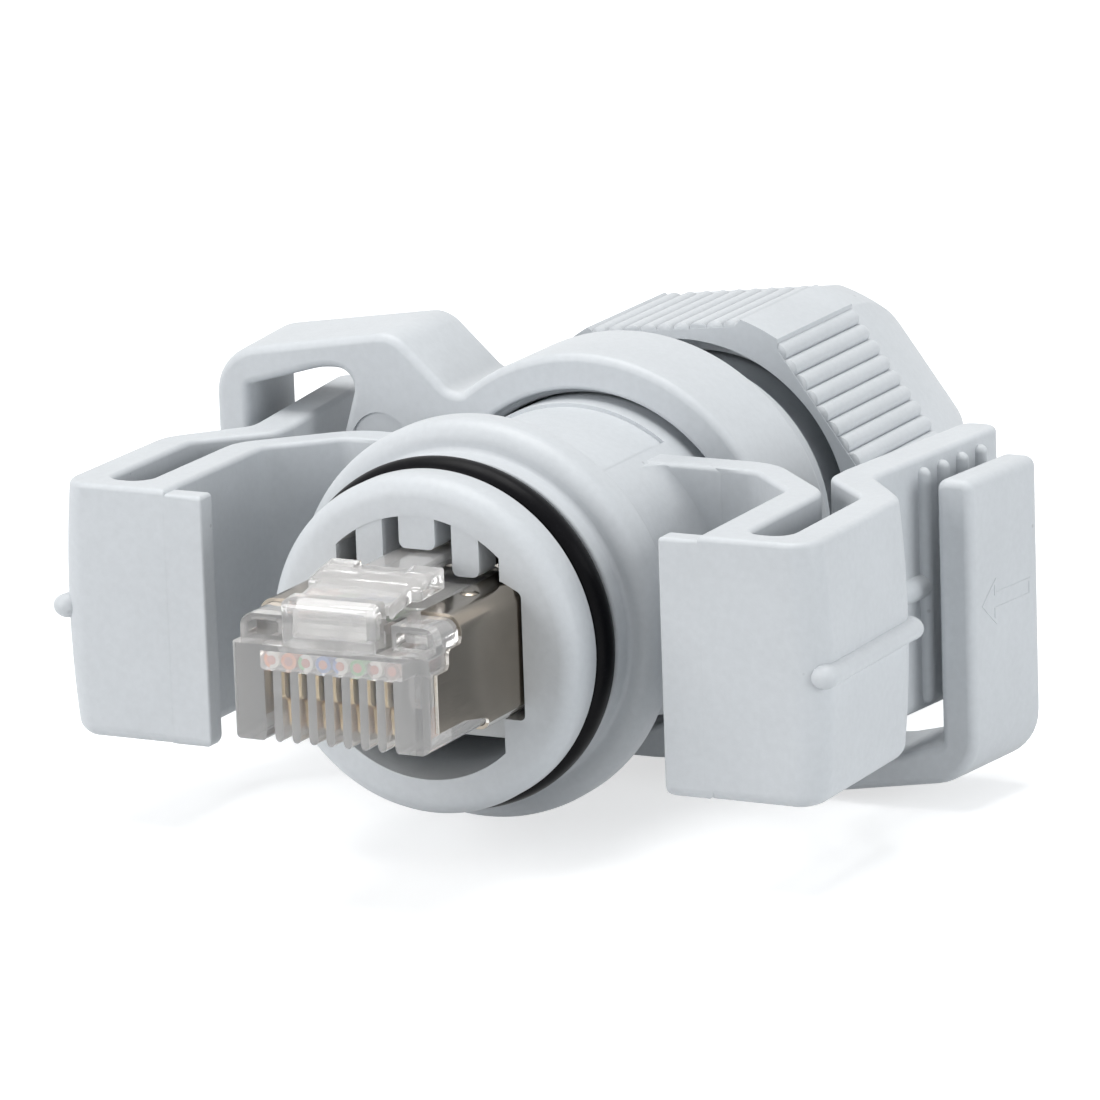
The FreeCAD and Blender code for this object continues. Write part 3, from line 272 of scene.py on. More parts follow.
def spread(tree, value, low, high, to_low, to_high):
    """A value's range from low to high brought to to_low and to_high."""
    return result(tree, "ShaderNodeMapRange", {"Value": value, "From Min": low, "From Max": high, "To Min": to_low,
                                               "To Max": to_high}, "Result")


def sum_of(tree, how, first, second):
    return result(tree, "ShaderNodeMath", {0: first, 1: second}, operation=how)


def stretched(tree, vector, scale):
    """The same coordinates, scaled along each axis."""
    return result(tree, "ShaderNodeMapping", {"Vector": vector, "Scale": scale})


def cells(tree, vector, scale):
    """The distance to the nearest of many scattered points."""
    return result(tree, "ShaderNodeTexVoronoi", {"Vector": vector, "Scale": scale}, "Distance")


def blend_colours(tree, share, first, second):
    return result(tree, "ShaderNodeMix", {"A": first, "B": second, "Factor": share}, "Result", data_type="RGBA")


def moulded_skin_group():
    """Fine mould grain, slow cloudiness of the colour and a few small darker specks."""
    tree, start, end = group_with(
        "moulded_skin",
        [("Colour", "NodeSocketColor", LIGHT_GREY), ("Grain scale", "NodeSocketFloat", 9000.0),
         ("Cloudiness", "NodeSocketFloat", 0.05), ("Speck depth", "NodeSocketFloat", 0.2),
         ("Dullness", "NodeSocketFloat", 0.46)],
        [("Colour", "NodeSocketColor"), ("Roughness", "NodeSocketFloat"), ("Height", "NodeSocketFloat")])
    place = tree.nodes.new("ShaderNodeTexCoord").outputs["Object"]
    grain = noise(tree, place, start.outputs["Grain scale"], 3.0)
    clouds = noise(tree, place, 170.0, 3.0)
    mottle = noise(tree, place, 2600.0, 2.0)
    darkest = sum_of(tree, "SUBTRACT", 1.0, start.outputs["Cloudiness"])
    shade = spread(tree, clouds, 0.3, 0.7, darkest, 1.0)
    fine = spread(tree, mottle, 0.3, 0.7, 0.975, 1.015)
    faded = sum_of(tree, "SUBTRACT", 1.0, start.outputs["Speck depth"])
    speck = spread(tree, cells(tree, place, 260.0), 0.018, 0.034, faded, 1.0)
    tone = sum_of(tree, "MULTIPLY", sum_of(tree, "MULTIPLY", shade, fine), speck)
    tint = result(tree, "ShaderNodeVectorMath", {0: start.outputs["Colour"], "Scale": tone}, operation="SCALE")
    tree.links.new(tint, end.inputs["Colour"])
    smooth = sum_of(tree, "SUBTRACT", start.outputs["Dullness"], 0.07)
    rough = sum_of(tree, "ADD", start.outputs["Dullness"], 0.10)
    tree.links.new(spread(tree, grain, 0.25, 0.75, smooth, rough), end.inputs["Roughness"])
    tree.links.new(grain, end.inputs["Height"])
    return tree


moulded_skin = moulded_skin_group()


def finish_of(name):
    """A new material with its tree, its shader and its object coordinates."""
    material = bpy.data.materials.new(name)
    material.use_nodes = True
    tree = material.node_tree
    return material, tree, tree.nodes["Principled BSDF"], tree.nodes.new("ShaderNodeTexCoord").outputs["Object"]


def raise_by(tree, shader, height, strength, distance):
    bump = result(tree, "ShaderNodeBump", {"Strength": strength, "Distance": distance * MM, "Height": height})
    tree.links.new(bump, shader.inputs["Normal"])


def moulded_plastic(name, colour, cloudiness=0.05, specks=0.2, grain=9000.0, relief=0.2, dullness=0.46):
    """Satin moulded plastic."""
    material, tree, shader, _ = finish_of(name)
    skin = tree.nodes.new("ShaderNodeGroup")
    skin.node_tree = moulded_skin
    skin.inputs["Colour"].default_value = colour
    skin.inputs["Grain scale"].default_value = grain
    skin.inputs["Cloudiness"].default_value = cloudiness
    skin.inputs["Speck depth"].default_value = specks
    skin.inputs["Dullness"].default_value = dullness
    tree.links.new(skin.outputs["Colour"], shader.inputs["Base Color"])
    tree.links.new(skin.outputs["Roughness"], shader.inputs["Roughness"])
    raise_by(tree, shader, skin.outputs["Height"], relief, 0.03)
    shader.inputs["Specular IOR Level"].default_value = 0.42
    return material


grey_plastic = moulded_plastic("light_grey_moulding", LIGHT_GREY)

nose_front = -5.9
nose_radius = 9.35
groove_front, groove_back, groove_radius = -3.5, -1.3, 7.95
spigot_radius = 9.5
flange_radius, flange_back = 11.12, 2.4
body_radius, body_back = 9.31, 26.4
neck_radius, neck_back = 8.6, 41.5
bore_radius, bore_front = 7.3, 7.5
panel_floor, panel_back, panel_spread = 9.09, 13.1, 72.0
arm_pivot = (10.6, 10.85)
pivot_radius = 1.1
pivot_play = 0.005
arm_half_height = 7.2
root_front, root_back, root_reach = 9.75, 11.95, 10.5
root_round = 1.3

housing_profile = rounded([
    (0.0, nose_front), (nose_radius, nose_front, 1.1), (nose_radius, groove_front, 0.15),
    (groove_radius, groove_front, 0.1), (groove_radius, groove_back, 0.1), (spigot_radius, groove_back, 0.2),
    (spigot_radius, 0.0, 0.28), (flange_radius, 0.0, 1.1), (flange_radius, flange_back, 0.3),
    (body_radius, flange_back, 0.35), (body_radius, body_back, 0.3), (neck_radius, body_back),
    (neck_radius, neck_back, 0.2), (0.0, neck_back)])
housing = lathe("housing_moulding", housing_profile, turns=180)


def shrink(corners, depth):
    """The same corners moved inwards by a depth, with their radii to suit."""
    area = sum(a[0] * b[1] - b[0] * a[1] for a, b in zip(corners, corners[1:] + corners[:1]))
    turn = 1.0 if area > 0 else -1.0
    moved = []
    for number, (a, b, *rest) in enumerate(corners):
        before = Vector(corners[number - 1][:2])
        here = Vector((a, b))
        after = Vector(corners[(number + 1) % len(corners)][:2])
        come = (here - before).normalized()
        leave = (after - here).normalized()
        inward_come = Vector((-come.y, come.x)) * turn
        inward_leave = Vector((-leave.y, leave.x)) * turn
        mitre = inward_come + inward_leave
        mitre = mitre / max(mitre.dot(inward_come), 1e-6)
        convex = (come.x * leave.y - come.y * leave.x) * turn > 0
        radius = rest[0] if rest else 0.0
        if radius > 0:
            radius = max(radius - depth, 0.03) if convex else radius + depth
        moved.append((here.x + mitre.x * depth, here.y + mitre.y * depth, radius))
    return moved


def slab(name, corners, low, high, low_round, high_round, axis="Z", layers=1, bend=None, steps=5, arc=8):
    """A plate stretched along an axis whose two rims are rounded, with an optional bend(point)."""
    def place(a, b, c):
        return Vector({"Z": (a, b, c), "Y": (a, c, b), "X": (c, a, b)}[axis])
    levels = []
    for step in range(steps + 1):
        turn = math.pi / 2 * step / steps
        levels.append((low + low_round * (1 - math.cos(turn)), low_round * (1 - math.sin(turn))))
    for layer in range(1, layers):
        levels.append((low + low_round + (high - high_round - low - low_round) * layer / layers, 0.0))
    for step in range(steps, -1, -1):
        turn = math.pi / 2 * step / steps
        levels.append((high - high_round * (1 - math.cos(turn)), high_round * (1 - math.sin(turn))))
    points = []
    for level, depth in levels:
        for a, b in rounded(shrink(corners, depth), steps=arc):
            spot = place(a, b, level)
            points.append(bend(spot) if bend else spot)
    piece = shape(name, points, stacked_faces(len(points) // len(levels), len(levels)))
    face_outwards(piece)
    return piece


def root_fillet(side, layers=24):
    """The rounded web in the corner between the body and a stub, which follows the body's curve."""
    low, high = 0.25 - arm_half_height, arm_half_height - 0.12
    web = []
    for layer in range(layers + 1):
        z = low + (high - low) * layer / layers
        skin = math.sqrt(body_radius ** 2 - z ** 2)
        for step in range(9):
            turn = math.pi / 2 * step / 8
            web.append((side * (skin - 0.03 + root_round * (1 - math.cos(turn))),
                        root_front + 0.02 - root_round * (1 - math.sin(turn)), z))
        web += [(side * (skin + root_round - 0.03), root_front + 0.45, z),
                (side * (skin - 0.5), root_front + 0.45, z), (side * (skin - 0.5), root_front - root_round, z)]
    fillet = shape("root_fillet", web, stacked_faces(12, layers + 1))
    face_outwards(fillet)
    return fillet


rim_low, rim_high = 0.8, 0.32
for side in (1, -1):
    stub = slab("stub", [(side * 3.0, root_front, 0), (side * root_reach, root_front, 0),
                         (side * root_reach, root_back, 0), (side * 3.0, root_back, 0)],
                -arm_half_height, arm_half_height, rim_low, rim_high)
    for vertex in stub.data.vertices:
        if abs(vertex.co.x) > (root_reach - 1.0) * MM:
            vertex.co.x = side * root_reach * MM
    combine(housing, stub, how="UNION")
    combine(housing, root_fillet(side), how="UNION")
    pivot = [(side * arm_pivot[0] + a, arm_pivot[1] + b) for a, b in circle(pivot_radius + pivot_play, 48)]
    combine(housing, prism("pivot", pivot, -arm_half_height - 1, arm_half_height + 1))

combine(housing, lathe("panel_sink", [(panel_floor, flange_back - 0.2), (10.5, flange_back - 0.2),
                                      (10.5, panel_back), (panel_floor, panel_back)],
                       turns=40, first=90.0 - panel_spread / 2, sweep=panel_spread))
mouth_radius, mouth_angle = 7.25, math.radians(42.52)
mouth = []
for step in range(31):
    turn = math.pi / 2 - mouth_angle + 2 * mouth_angle * step / 30
    mouth.append((mouth_radius * math.cos(turn), mouth_radius * math.sin(turn)))
mouth += [(-x, -z) for x, z in mouth]
combine(housing, prism("mouth", mouth, nose_front - 1.1, bore_front + 0.5, "Y"))
slot_half, slot_low, slot_high = 6.15, -3.45, 4.08
combine(housing, prism("slot", rounded([
    (-slot_half, slot_low, 0.3), (slot_half, slot_low, 0.3), (slot_half, slot_high - 0.58, 0.4),
    (slot_half - 1.15, slot_high, 0), (1.15 - slot_half, slot_high, 0), (-slot_half, slot_high - 0.58, 0.4)]),
    nose_front - 1.1, bore_front + 0.4, "Y"))
combine(housing, lathe("bore", [(0.0, bore_front), (bore_radius, bore_front), (bore_radius, neck_back + 0.5),
                                (0.0, neck_back + 0.5)], turns=96))
finger_root = 7.7
for low_x, high_x, foot in ((2.08, 3.68, 4.15), (-3.68, -2.08, 4.15), (-1.08, 1.08, 5.45)):
    finger = prism("finger", rounded([(low_x, foot, 0.4), (high_x, foot, 0.4), (high_x, finger_root),
                                      (low_x, finger_root)]), nose_front + 0.05, nose_front + 2.0, "Y")
    combine(housing, finger, how="UNION")


def beside_pivot(point):
    """The pivot's rims and the fillet's own lines stay sharp, so that stub and arm meet flush."""
    at_pivot = math.hypot(abs(point.x) - arm_pivot[0], point.y - arm_pivot[1]) < pivot_radius + 0.25
    at_fillet = (root_front - 1.45 < point.y < root_front + 0.15 and abs(point.x) < root_reach + 0.2
                 and math.hypot(point.x, point.z) > body_radius - 0.2)
    return at_pivot or at_fillet


soften(housing, 0.14, sharp=beside_pivot)
dress(housing, grey_plastic)
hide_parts("plug_housing")
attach(housing, "housing")


# ---- Sealing ring ----
# A black rubber ring of round section, sprung into the nose's groove and wiped with grease, so
# it shines softly. It stands four tenths of a millimetre out of the nose.

def rubber(name, colour, dullness):
    material, tree, shader, place = finish_of(name)
    film = noise(tree, place, 900.0, 4.0)
    dust = noise(tree, place, 5200.0, 2.0, 0.7)
    tree.links.new(spread(tree, film, 0.2, 0.8, dullness * 0.8, dullness * 1.3), shader.inputs["Roughness"])
    dusty = tuple(min(1.0, c * 2.4 + 0.002) for c in colour[:3]) + (1.0,)
    tree.links.new(blend_colours(tree, spread(tree, dust, 0.55, 0.8, 0.0, 1.0), colour, dusty),
                   shader.inputs["Base Color"])
    raise_by(tree, shader, film, 0.15, 0.04)
    shader.inputs["Specular IOR Level"].default_value = 0.09
    return material


greased_rubber = rubber("greased_black_rubber", (0.0018, 0.0018, 0.0028, 1.0), 0.36)
seal_round = 0.89
ring_section = [(8.87 + a, (groove_front + groove_back) / 2 + b) for a, b in circle(seal_round, 28)]
o_ring = lathe("sealing_ring", ring_section, turns=160)
shade_smooth(o_ring)
dress(o_ring, greased_rubber)
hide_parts("nose_o_ring")
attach(o_ring, "housing")


# ---- Latch arms ----
# Each side arm is a bent plate of the same moulding: from its stub it runs out and forward to a
# hook, folds back over a narrow slot as a crowned grip with a cross ridge, and ends in a long
# lever with four round finger ribs. The outer bends carry the mould's full radii.

def capsule(name, centre, length, wide, high, nose, axis="Y", around=20, steps=6):
    """A round-ended bar: centre of its axis, overall length, half sizes across, length of its ends."""
    rings = []
    for step in range(steps + 1):
        turn = math.pi / 2 * step / steps
        rings.append((-length / 2 + nose * (1 - math.cos(turn)), max(math.sin(turn), 1e-4)))
    rings += [(-along, size) for along, size in reversed(rings)]
    points = []
    for along, size in rings:
        for k in range(around):
            turn = math.tau * k / around
            a, b = wide * size * math.cos(turn), high * size * math.sin(turn)
            spot = {"Y": (a, along, b), "Z": (a, b, along)}[axis]
            points.append(Vector(spot) + Vector(centre))
    piece = shape(name, points, stacked_faces(around, len(rings)))
    face_outwards(piece)
    return piece


def smooth_plate(piece, angle=50.0):
    """Smooth shading that keeps the flat faces flat."""
    shade_smooth(piece)
    piece.data.set_sharp_from_angle(angle=math.radians(angle))
    level = piece.modifiers.new("even_shading", "WEIGHTED_NORMAL")
    level.keep_sharp = True
    level.weight = 60
    return piece


def piece_tree(name, inputs):
    """A geometry node tree with these named inputs, its inputs' sockets and its end node."""
    tree = bpy.data.node_groups.new(name, "GeometryNodeTree")
    for label, kind, value in inputs:
        made = tree.interface.new_socket(name=label, in_out="INPUT", socket_type="NodeSocket" + kind)
        if value is not None:
            made.default_value = value
    tree.interface.new_socket(name="Geometry", in_out="OUTPUT", socket_type="NodeSocketGeometry")
    return tree, tree.nodes.new("NodeGroupInput").outputs, tree.nodes.new("NodeGroupOutput")


def finger_rib_tree():
    """Round-ended ribs in straight rows, with the rows set round an axis: the grip of the arms and the nut."""
    tree, start, end = piece_tree(
        "round_ended_ribs",
        [("Ribs", "Int", 4), ("Pitch", "Float", 0.002), ("Long", "Float", 0.01), ("Wide", "Float", 0.0005),
         ("High", "Float", 0.0005), ("Nose", "Float", 0.0004), ("Rings", "Int", 61), ("Rows", "Int", 1),
         ("Row distance", "Float", 0.0), ("Finish", "Material", None)])

    def maths(how, first, second=0.0):
        return sum_of(tree, how, first, second)

    def vector(x=0.0, y=0.0, z=0.0):
        return result(tree, "ShaderNodeCombineXYZ", {"X": x, "Y": y, "Z": z})

    half = maths("MULTIPLY", start["Long"], 0.5)
    spine = result(tree, "GeometryNodeCurvePrimitiveLine", {"Start": vector(z=maths("MULTIPLY", half, -1.0)),
                                                            "End": vector(z=half)})
    fine = result(tree, "GeometryNodeResampleCurve", {"Curve": spine, "Count": start["Rings"]})
    spot = result(tree, "GeometryNodeInputPosition")
    away = maths("ABSOLUTE", result(tree, "ShaderNodeSeparateXYZ", {"Vector": spot}, "Z"))
    into = maths("MAXIMUM", maths("SUBTRACT", away, maths("SUBTRACT", half, start["Nose"])), 0.0)
    share = maths("MINIMUM", maths("DIVIDE", into, start["Nose"]), 1.0)
    size = maths("SQRT", maths("SUBTRACT", 1.0001, maths("MULTIPLY", share, share)))
    section = result(tree, "GeometryNodeCurvePrimitiveCircle", {"Resolution": 20, "Radius": 1.0})
    oval = result(tree, "GeometryNodeTransform", {"Geometry": section,
                                                  "Scale": vector(start["Wide"], start["High"], 1.0)})
    rib = result(tree, "GeometryNodeCurveToMesh", {"Curve": fine, "Profile Curve": oval, "Scale": size,
                                                   "Fill Caps": True})
    first = maths("MULTIPLY", maths("SUBTRACT", start["Ribs"], 1.0), maths("MULTIPLY", start["Pitch"], -0.5))
    row = result(tree, "GeometryNodeMeshLine", {"Count": start["Ribs"], "Offset": vector(start["Pitch"]),
                                                "Start Location": vector(first, start["Row distance"])})
    ribs = result(tree, "GeometryNodeInstanceOnPoints", {"Points": row, "Instance": rib})
    hub = result(tree, "GeometryNodeMeshLine", {"Count": start["Rows"], "Offset": (0.0, 0.0, 0.0)})
    turn = maths("MULTIPLY", result(tree, "GeometryNodeInputIndex"), maths("DIVIDE", math.tau, start["Rows"]))
    rows = result(tree, "GeometryNodeInstanceOnPoints", {"Points": hub, "Instance": ribs,
                                                         "Rotation": vector(z=turn)})
    real = result(tree, "GeometryNodeRealizeInstances", {"Geometry": rows})
    painted = result(tree, "GeometryNodeSetMaterial", {"Geometry": real, "Material": start["Finish"]})
    tree.links.new(painted, end.inputs["Geometry"])
    return tree


ribs_tree = finger_rib_tree()


def pass_through(piece, tree, values):
    """Runs the piece's mesh through a node tree with these values for its named inputs."""
    step = piece.modifiers.new(tree.name, "NODES")
    step.node_group = tree
    for item in tree.interface.items_tree:
        if item.item_type == "SOCKET" and item.in_out == "INPUT" and item.name in values:
            step[item.identifier] = values[item.name]
    settle(piece)


def grow(name, tree, values, place=None):
    """What a node tree makes from these values, as a plain mesh object moved to its place."""
    seed = bpy.data.objects.new(name, bpy.data.meshes.new(name))
    bpy.context.scene.collection.objects.link(seed)
    pass_through(seed, tree, values)
    if place is not None:
        seed.data.transform(place)
    face_outwards(seed)
    return seed


arm_front = -4.8
bow_out = 12.95             # where the arm turns from its root into the slanted run
slot_inside, slot_outside, slot_front = 18.15, 20.5, -3.2
hook_inside, hook_back, hook_tip = 16.0, -3.4, 13.75
grip_outside = 23.05
lever_inside, lever_outside, lever_front, lever_back, lever_tip = 16.95, 19.3, 11.6, 24.35, 2.35
front_wall, slot_wide, lever_wall = 1.8, 1.3, 2.2
lever_lean = math.radians(6.9)
crown_drop = 0.42


def arm_corners(side):
    """The arm's outline seen from above: root, slant, slot, lever, grip, hook and back to the root."""
    back = lever_inside + (lever_back - lever_front) * math.tan(lever_lean)
    slant_back = bow_out + root_back
    slant_front = slant_back - front_wall * math.sqrt(2)
    slant_lever = slant_back + slot_wide * math.sqrt(2)
    slant_outside = slant_lever + lever_wall * math.sqrt(2)
    plan = [
        (9.0, root_back, 0), (bow_out, root_back, 3.8), (slot_inside, slant_back - slot_inside, 2.8),
        (slot_inside, slot_front, 1.0), (slot_outside, slot_front, 1.0),
        (slot_outside, slant_lever - slot_outside, 1.5), (lever_inside, slant_lever - lever_inside, 1.2),
        (lever_inside, lever_front, 2.0), (back, lever_back, 0.9), (back + lever_tip, lever_back, 0.9),
        (lever_outside, lever_front, 1.0), (lever_outside, slant_outside - lever_outside, 1.2),
        (grip_outside, slant_outside - grip_outside, 2.6), (grip_outside, arm_front, 1.7),
        (hook_inside, arm_front, 0.15), (hook_inside, slant_front - hook_inside, 1.4),
        (slant_front - root_front, root_front, 1.4), (9.0, root_front, 0)]
    return [(x * side, y, r) for x, y, r in plan]


def eased(share):
    """A share from 0 to 1 with soft ends."""
    share = min(max(share, 0.0), 1.0)
    return share * share * (3 - 2 * share)


def crowned(spot):
    """The grip's outside bulges over its height, and the faces beside it don't."""
    reach = eased((abs(spot.x) - slot_outside - 0.1) / 1.8)
    spot.x -= math.copysign(crown_drop * (spot.z / arm_half_height) ** 2 * reach, spot.x)
    return spot


for side, label, body in ((1, "right", "right_arm"), (-1, "left", "left_arm")):
    arm = slab("latch_arm_" + label + "_moulding", arm_corners(side), -arm_half_height, arm_half_height,
               rim_low, rim_high, layers=12, bend=crowned, steps=6, arc=9)
    outside = [(8.0, 9.0), (arm_pivot[0], 9.0)]
    outside += [(arm_pivot[0] - pivot_radius * math.sin(math.pi * t / 24),
                 arm_pivot[1] - pivot_radius * math.cos(math.pi * t / 24)) for t in range(25)]
    outside += [(arm_pivot[0], 12.7), (8.0, 12.7)]
    combine(arm, prism("round_root", [(side * a, b) for a, b in outside], -8.0, 8.0))
    hook = slab("hook", [(side * hook_tip, arm_front + 0.01, 0.15), (side * (hook_inside + 0.6), arm_front + 0.01, 0),
                         (side * (hook_inside + 0.6), hook_back, 0), (side * hook_tip, hook_back, 0.3)],
                -arm_half_height, arm_half_height - 0.23, 0.62, 0.25)
    combine(arm, hook, how="UNION")
    ridge_out = side * (grip_outside - 0.15)
    combine(arm, capsule("cross_ridge", (ridge_out, 1.45, 0.0), 11.6, 0.8, 0.62, 0.55), how="UNION")
    for end in (-4.0, 6.7):
        combine(arm, capsule("ridge_end", (ridge_out, end, 0.0), 1.4, 0.80, 0.67, 0.65), how="UNION")
    lever_out = side * lever_outside * MM
    lever_turn = Matrix.Rotation(-side * lever_lean, 4, "Z")
    ridge_middle = 13.4
    spine = capsule("lever_ridge", (side * lever_outside, ridge_middle, 0.0), 5.2, 0.68, 0.72, 0.6)
    spine.data.transform(Matrix.Translation((lever_out + side * 0.1 * MM, ridge_middle * MM, 0)) @ lever_turn
                         @ Matrix.Translation((-lever_out, -ridge_middle * MM, 0)))
    combine(arm, spine, how="UNION")
    ribs_middle = 18.65
    ribs_out = lever_out + side * (ribs_middle - lever_front) * math.tan(lever_lean) * MM
    place = (Matrix.Translation((ribs_out, ribs_middle * MM, 0.0)) @ lever_turn
             @ Matrix.Rotation(math.pi / 2, 4, "Z"))
    ribs = grow("lever_ribs", ribs_tree, {"Ribs": 4, "Pitch": 2.03 * MM, "Long": 13.3 * MM, "Wide": 0.4 * MM,
                                          "High": 0.52 * MM, "Nose": 0.42 * MM, "Rings": 241,
                                          "Finish": grey_plastic}, place)
    combine(arm, ribs, how="UNION")
    smooth_plate(arm)
    dress(arm, grey_plastic)
    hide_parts("latch_arm_" + label)
    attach(arm, body)


# ---- Locking ring ----
# A loose ring of the same moulding round the barrel. Each side carries a hood that passes over the
# lever and ends in a guard plate, one above and one below, so sliding the ring forward keeps the
# levers from being squeezed. A shallow gate mark sits beside each root.

ring_front, ring_back = 14.1, 21.36
ring_radius = 11.87
ring_bore, ring_mouth = 9.45, 9.83
guard_outside, guard_inside, guard_flare = 23.33, 21.25, 0.85
ring_profile = rounded([
    (ring_mouth, ring_front, 0.3), (ring_radius, ring_front, 0.5), (ring_radius, ring_back - 0.7, 0.5),
    (ring_radius - 0.37, ring_back, 0.3), (ring_bore, ring_back, 0.15), (ring_bore, ring_front + 1.2, 0.3),
    (ring_mouth, ring_front + 1.0, 0.3)])
locking_ring = lathe("locking_ring_moulding", ring_profile, turns=144)
combine(locking_ring, prism("ring_flat", [(-5.33, -13.5), (5.33, -13.5), (5.33, -10.85), (-5.33, -10.85)],
                            13.0, 22.5, "Y"))
hood_corners = [
    (9.9, 3.5, 0), (7.0, 7.7, 0), (5.1, 9.0, 0), (5.91, 10.24, 0), (8.02, 8.72, 1.3), (11.9, 12.3, 2.1),
    (guard_outside, 10.45, 2.9), (guard_outside, -6.4, 0.6), (guard_inside, -6.4, 0.6), (guard_inside, 8.6, 0.3),
    (16.6, 9.95, 5.0), (14.15, 10.0, 1.1), (15.3, 6.1, 1.2), (15.3, 3.5, 0.3)]


def guard_face(y):
    """How far out the guard's outside is at this place along the axis."""
    return guard_outside + guard_flare * (y - ring_front) / (ring_back - ring_front)


def leaning(spot):
    """The guard plates flare outwards towards the back."""
    share = eased((abs(spot.x) - 18.5) / 2.7)
    spot.x += math.copysign((guard_face(spot.y) - guard_outside) * share, spot.x)
    return spot


for side in (-1, 1):
    hood = slab("hood", [(side * a, -side * b, r) for a, b, r in hood_corners], ring_front, ring_back,
                0.5, 0.5, axis="Y", layers=3, bend=leaning, steps=5, arc=9)
    combine(locking_ring, hood, how="UNION")
    gate = [(side * 12.82 + a, -side * 5.8 + b) for a, b in circle(1.85, 40)]
    combine(locking_ring, prism("gate_mark", gate, ring_front - 1.0, ring_front + 0.12, "Y"))
    arrow = [(15.1, -0.8), (16.6, 0.5), (16.6, -0.3), (20.3, -0.3), (20.3, -1.3), (16.6, -1.3), (16.6, -2.1)]
    relief = prism("slide_arrow", arrow, -0.3, 0.03, "X")
    combine(relief, prism("arrow_inside", [(y, z) for y, z, _ in shrink(arrow, 0.16)], -1.0, 1.0, "X"))
    for vertex in relief.data.vertices:
        vertex.co.x += guard_face(vertex.co.y / MM) * MM
        vertex.co.x *= side
        vertex.co.z *= side
    face_outwards(relief)
    combine(locking_ring, relief, how="UNION")
smooth_plate(locking_ring, 40.0)
dress(locking_ring, grey_plastic)
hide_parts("locking_ring")
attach(locking_ring, "collar")


# ---- Conductors ----
# Eight solid copper wires of the cable, each in a thin coloured sleeve. They are cut square just
# behind the modular plug's clear front wall, so the copper shows in the middle of every colour.

def wire_tree():
    """A straight sleeved wire along Y with its bare core flush at both ends."""
    tree, start, end = piece_tree(
        "sleeved_wire",
        [("Front", "Float", -0.0155), ("Back", "Float", 0.0095), ("Radius", "Float", 0.0005),
         ("Core radius", "Float", 0.00025), ("Core proud", "Float", 0.00002), ("Sleeve", "Material", None),
         ("Copper", "Material", None)])
    both = tree.nodes.new("GeometryNodeJoinGeometry")
    for radius, proud, core in ((start["Radius"], 0.0, False), (start["Core radius"], start["Core proud"], True)):
        front = result(tree, "ShaderNodeCombineXYZ", {"Y": sum_of(tree, "SUBTRACT", start["Front"], proud)})
        back = result(tree, "ShaderNodeCombineXYZ", {"Y": sum_of(tree, "ADD", start["Back"], proud)})
        spine = result(tree, "GeometryNodeCurvePrimitiveLine", {"Start": front, "End": back})
        section = result(tree, "GeometryNodeCurvePrimitiveCircle", {"Resolution": 28, "Radius": radius})
        rod = result(tree, "GeometryNodeCurveToMesh", {"Curve": spine, "Profile Curve": section, "Fill Caps": True})
        marked = result(tree, "GeometryNodeStoreNamedAttribute", {"Geometry": rod, "Name": "is_core", "Value": core},
                        data_type="BOOLEAN", domain="FACE")
        tree.links.new(marked, both.inputs["Geometry"])
    real = result(tree, "GeometryNodeRealizeInstances", {"Geometry": both.outputs["Geometry"]})
    sleeved = result(tree, "GeometryNodeSetMaterial", {"Geometry": real, "Material": start["Sleeve"]})
    is_core = result(tree, "GeometryNodeInputNamedAttribute", {"Name": "is_core"}, "Attribute", data_type="BOOLEAN")
    finished = result(tree, "GeometryNodeSetMaterial", {"Geometry": sleeved, "Selection": is_core,
                                                        "Material": start["Copper"]})
    tree.links.new(finished, end.inputs["Geometry"])
    return tree


def sleeve_finish(name, colour, band, across):
    """Extruded insulation: one colour, or white with a helical band of the pair's colour."""
    material, tree, shader, place = finish_of(name)
    centred = result(tree, "ShaderNodeMapping", {"Vector": place,
                                                 "Location": (-across * MM, 0.0, -wire_height * MM)})
    part = tree.nodes.new("ShaderNodeSeparateXYZ")
    tree.links.new(centred, part.inputs[0])
    round_it = sum_of(tree, "ARCTAN2", part.outputs["Z"], part.outputs["X"])
    helix = sum_of(tree, "ADD", round_it, sum_of(tree, "MULTIPLY", part.outputs["Y"], 520.0))
    wave = sum_of(tree, "SINE", helix, 0.0)
    fine = noise(tree, place, 2400.0, 3.0)
    plain = blend_colours(tree, spread(tree, fine, 0.3, 0.7, 0.0, 1.0), colour,
                          tuple(c * 0.86 for c in colour[:3]) + (1.0,))
    if band:
        plain = blend_colours(tree, spread(tree, wave, 0.45, 0.55, 0.0, 1.0), plain, band)
    tree.links.new(plain, shader.inputs["Base Color"])
    tree.links.new(spread(tree, fine, 0.2, 0.8, 0.30, 0.46), shader.inputs["Roughness"])
    raise_by(tree, shader, fine, 0.12, 0.02)
    return material


def bare_copper():
    material, tree, shader, place = finish_of("cut_copper")
    scratch = noise(tree, stretched(tree, place, (1.0, 1.0, 6.0)), 5200.0, 3.0)
    tree.links.new(blend_colours(tree, scratch, (0.62, 0.20, 0.12, 1.0), (0.30, 0.07, 0.04, 1.0)),
                   shader.inputs["Base Color"])
    tree.links.new(spread(tree, scratch, 0.2, 0.8, 0.22, 0.42), shader.inputs["Roughness"])
    shader.inputs["Metallic"].default_value = 0.75
    return material


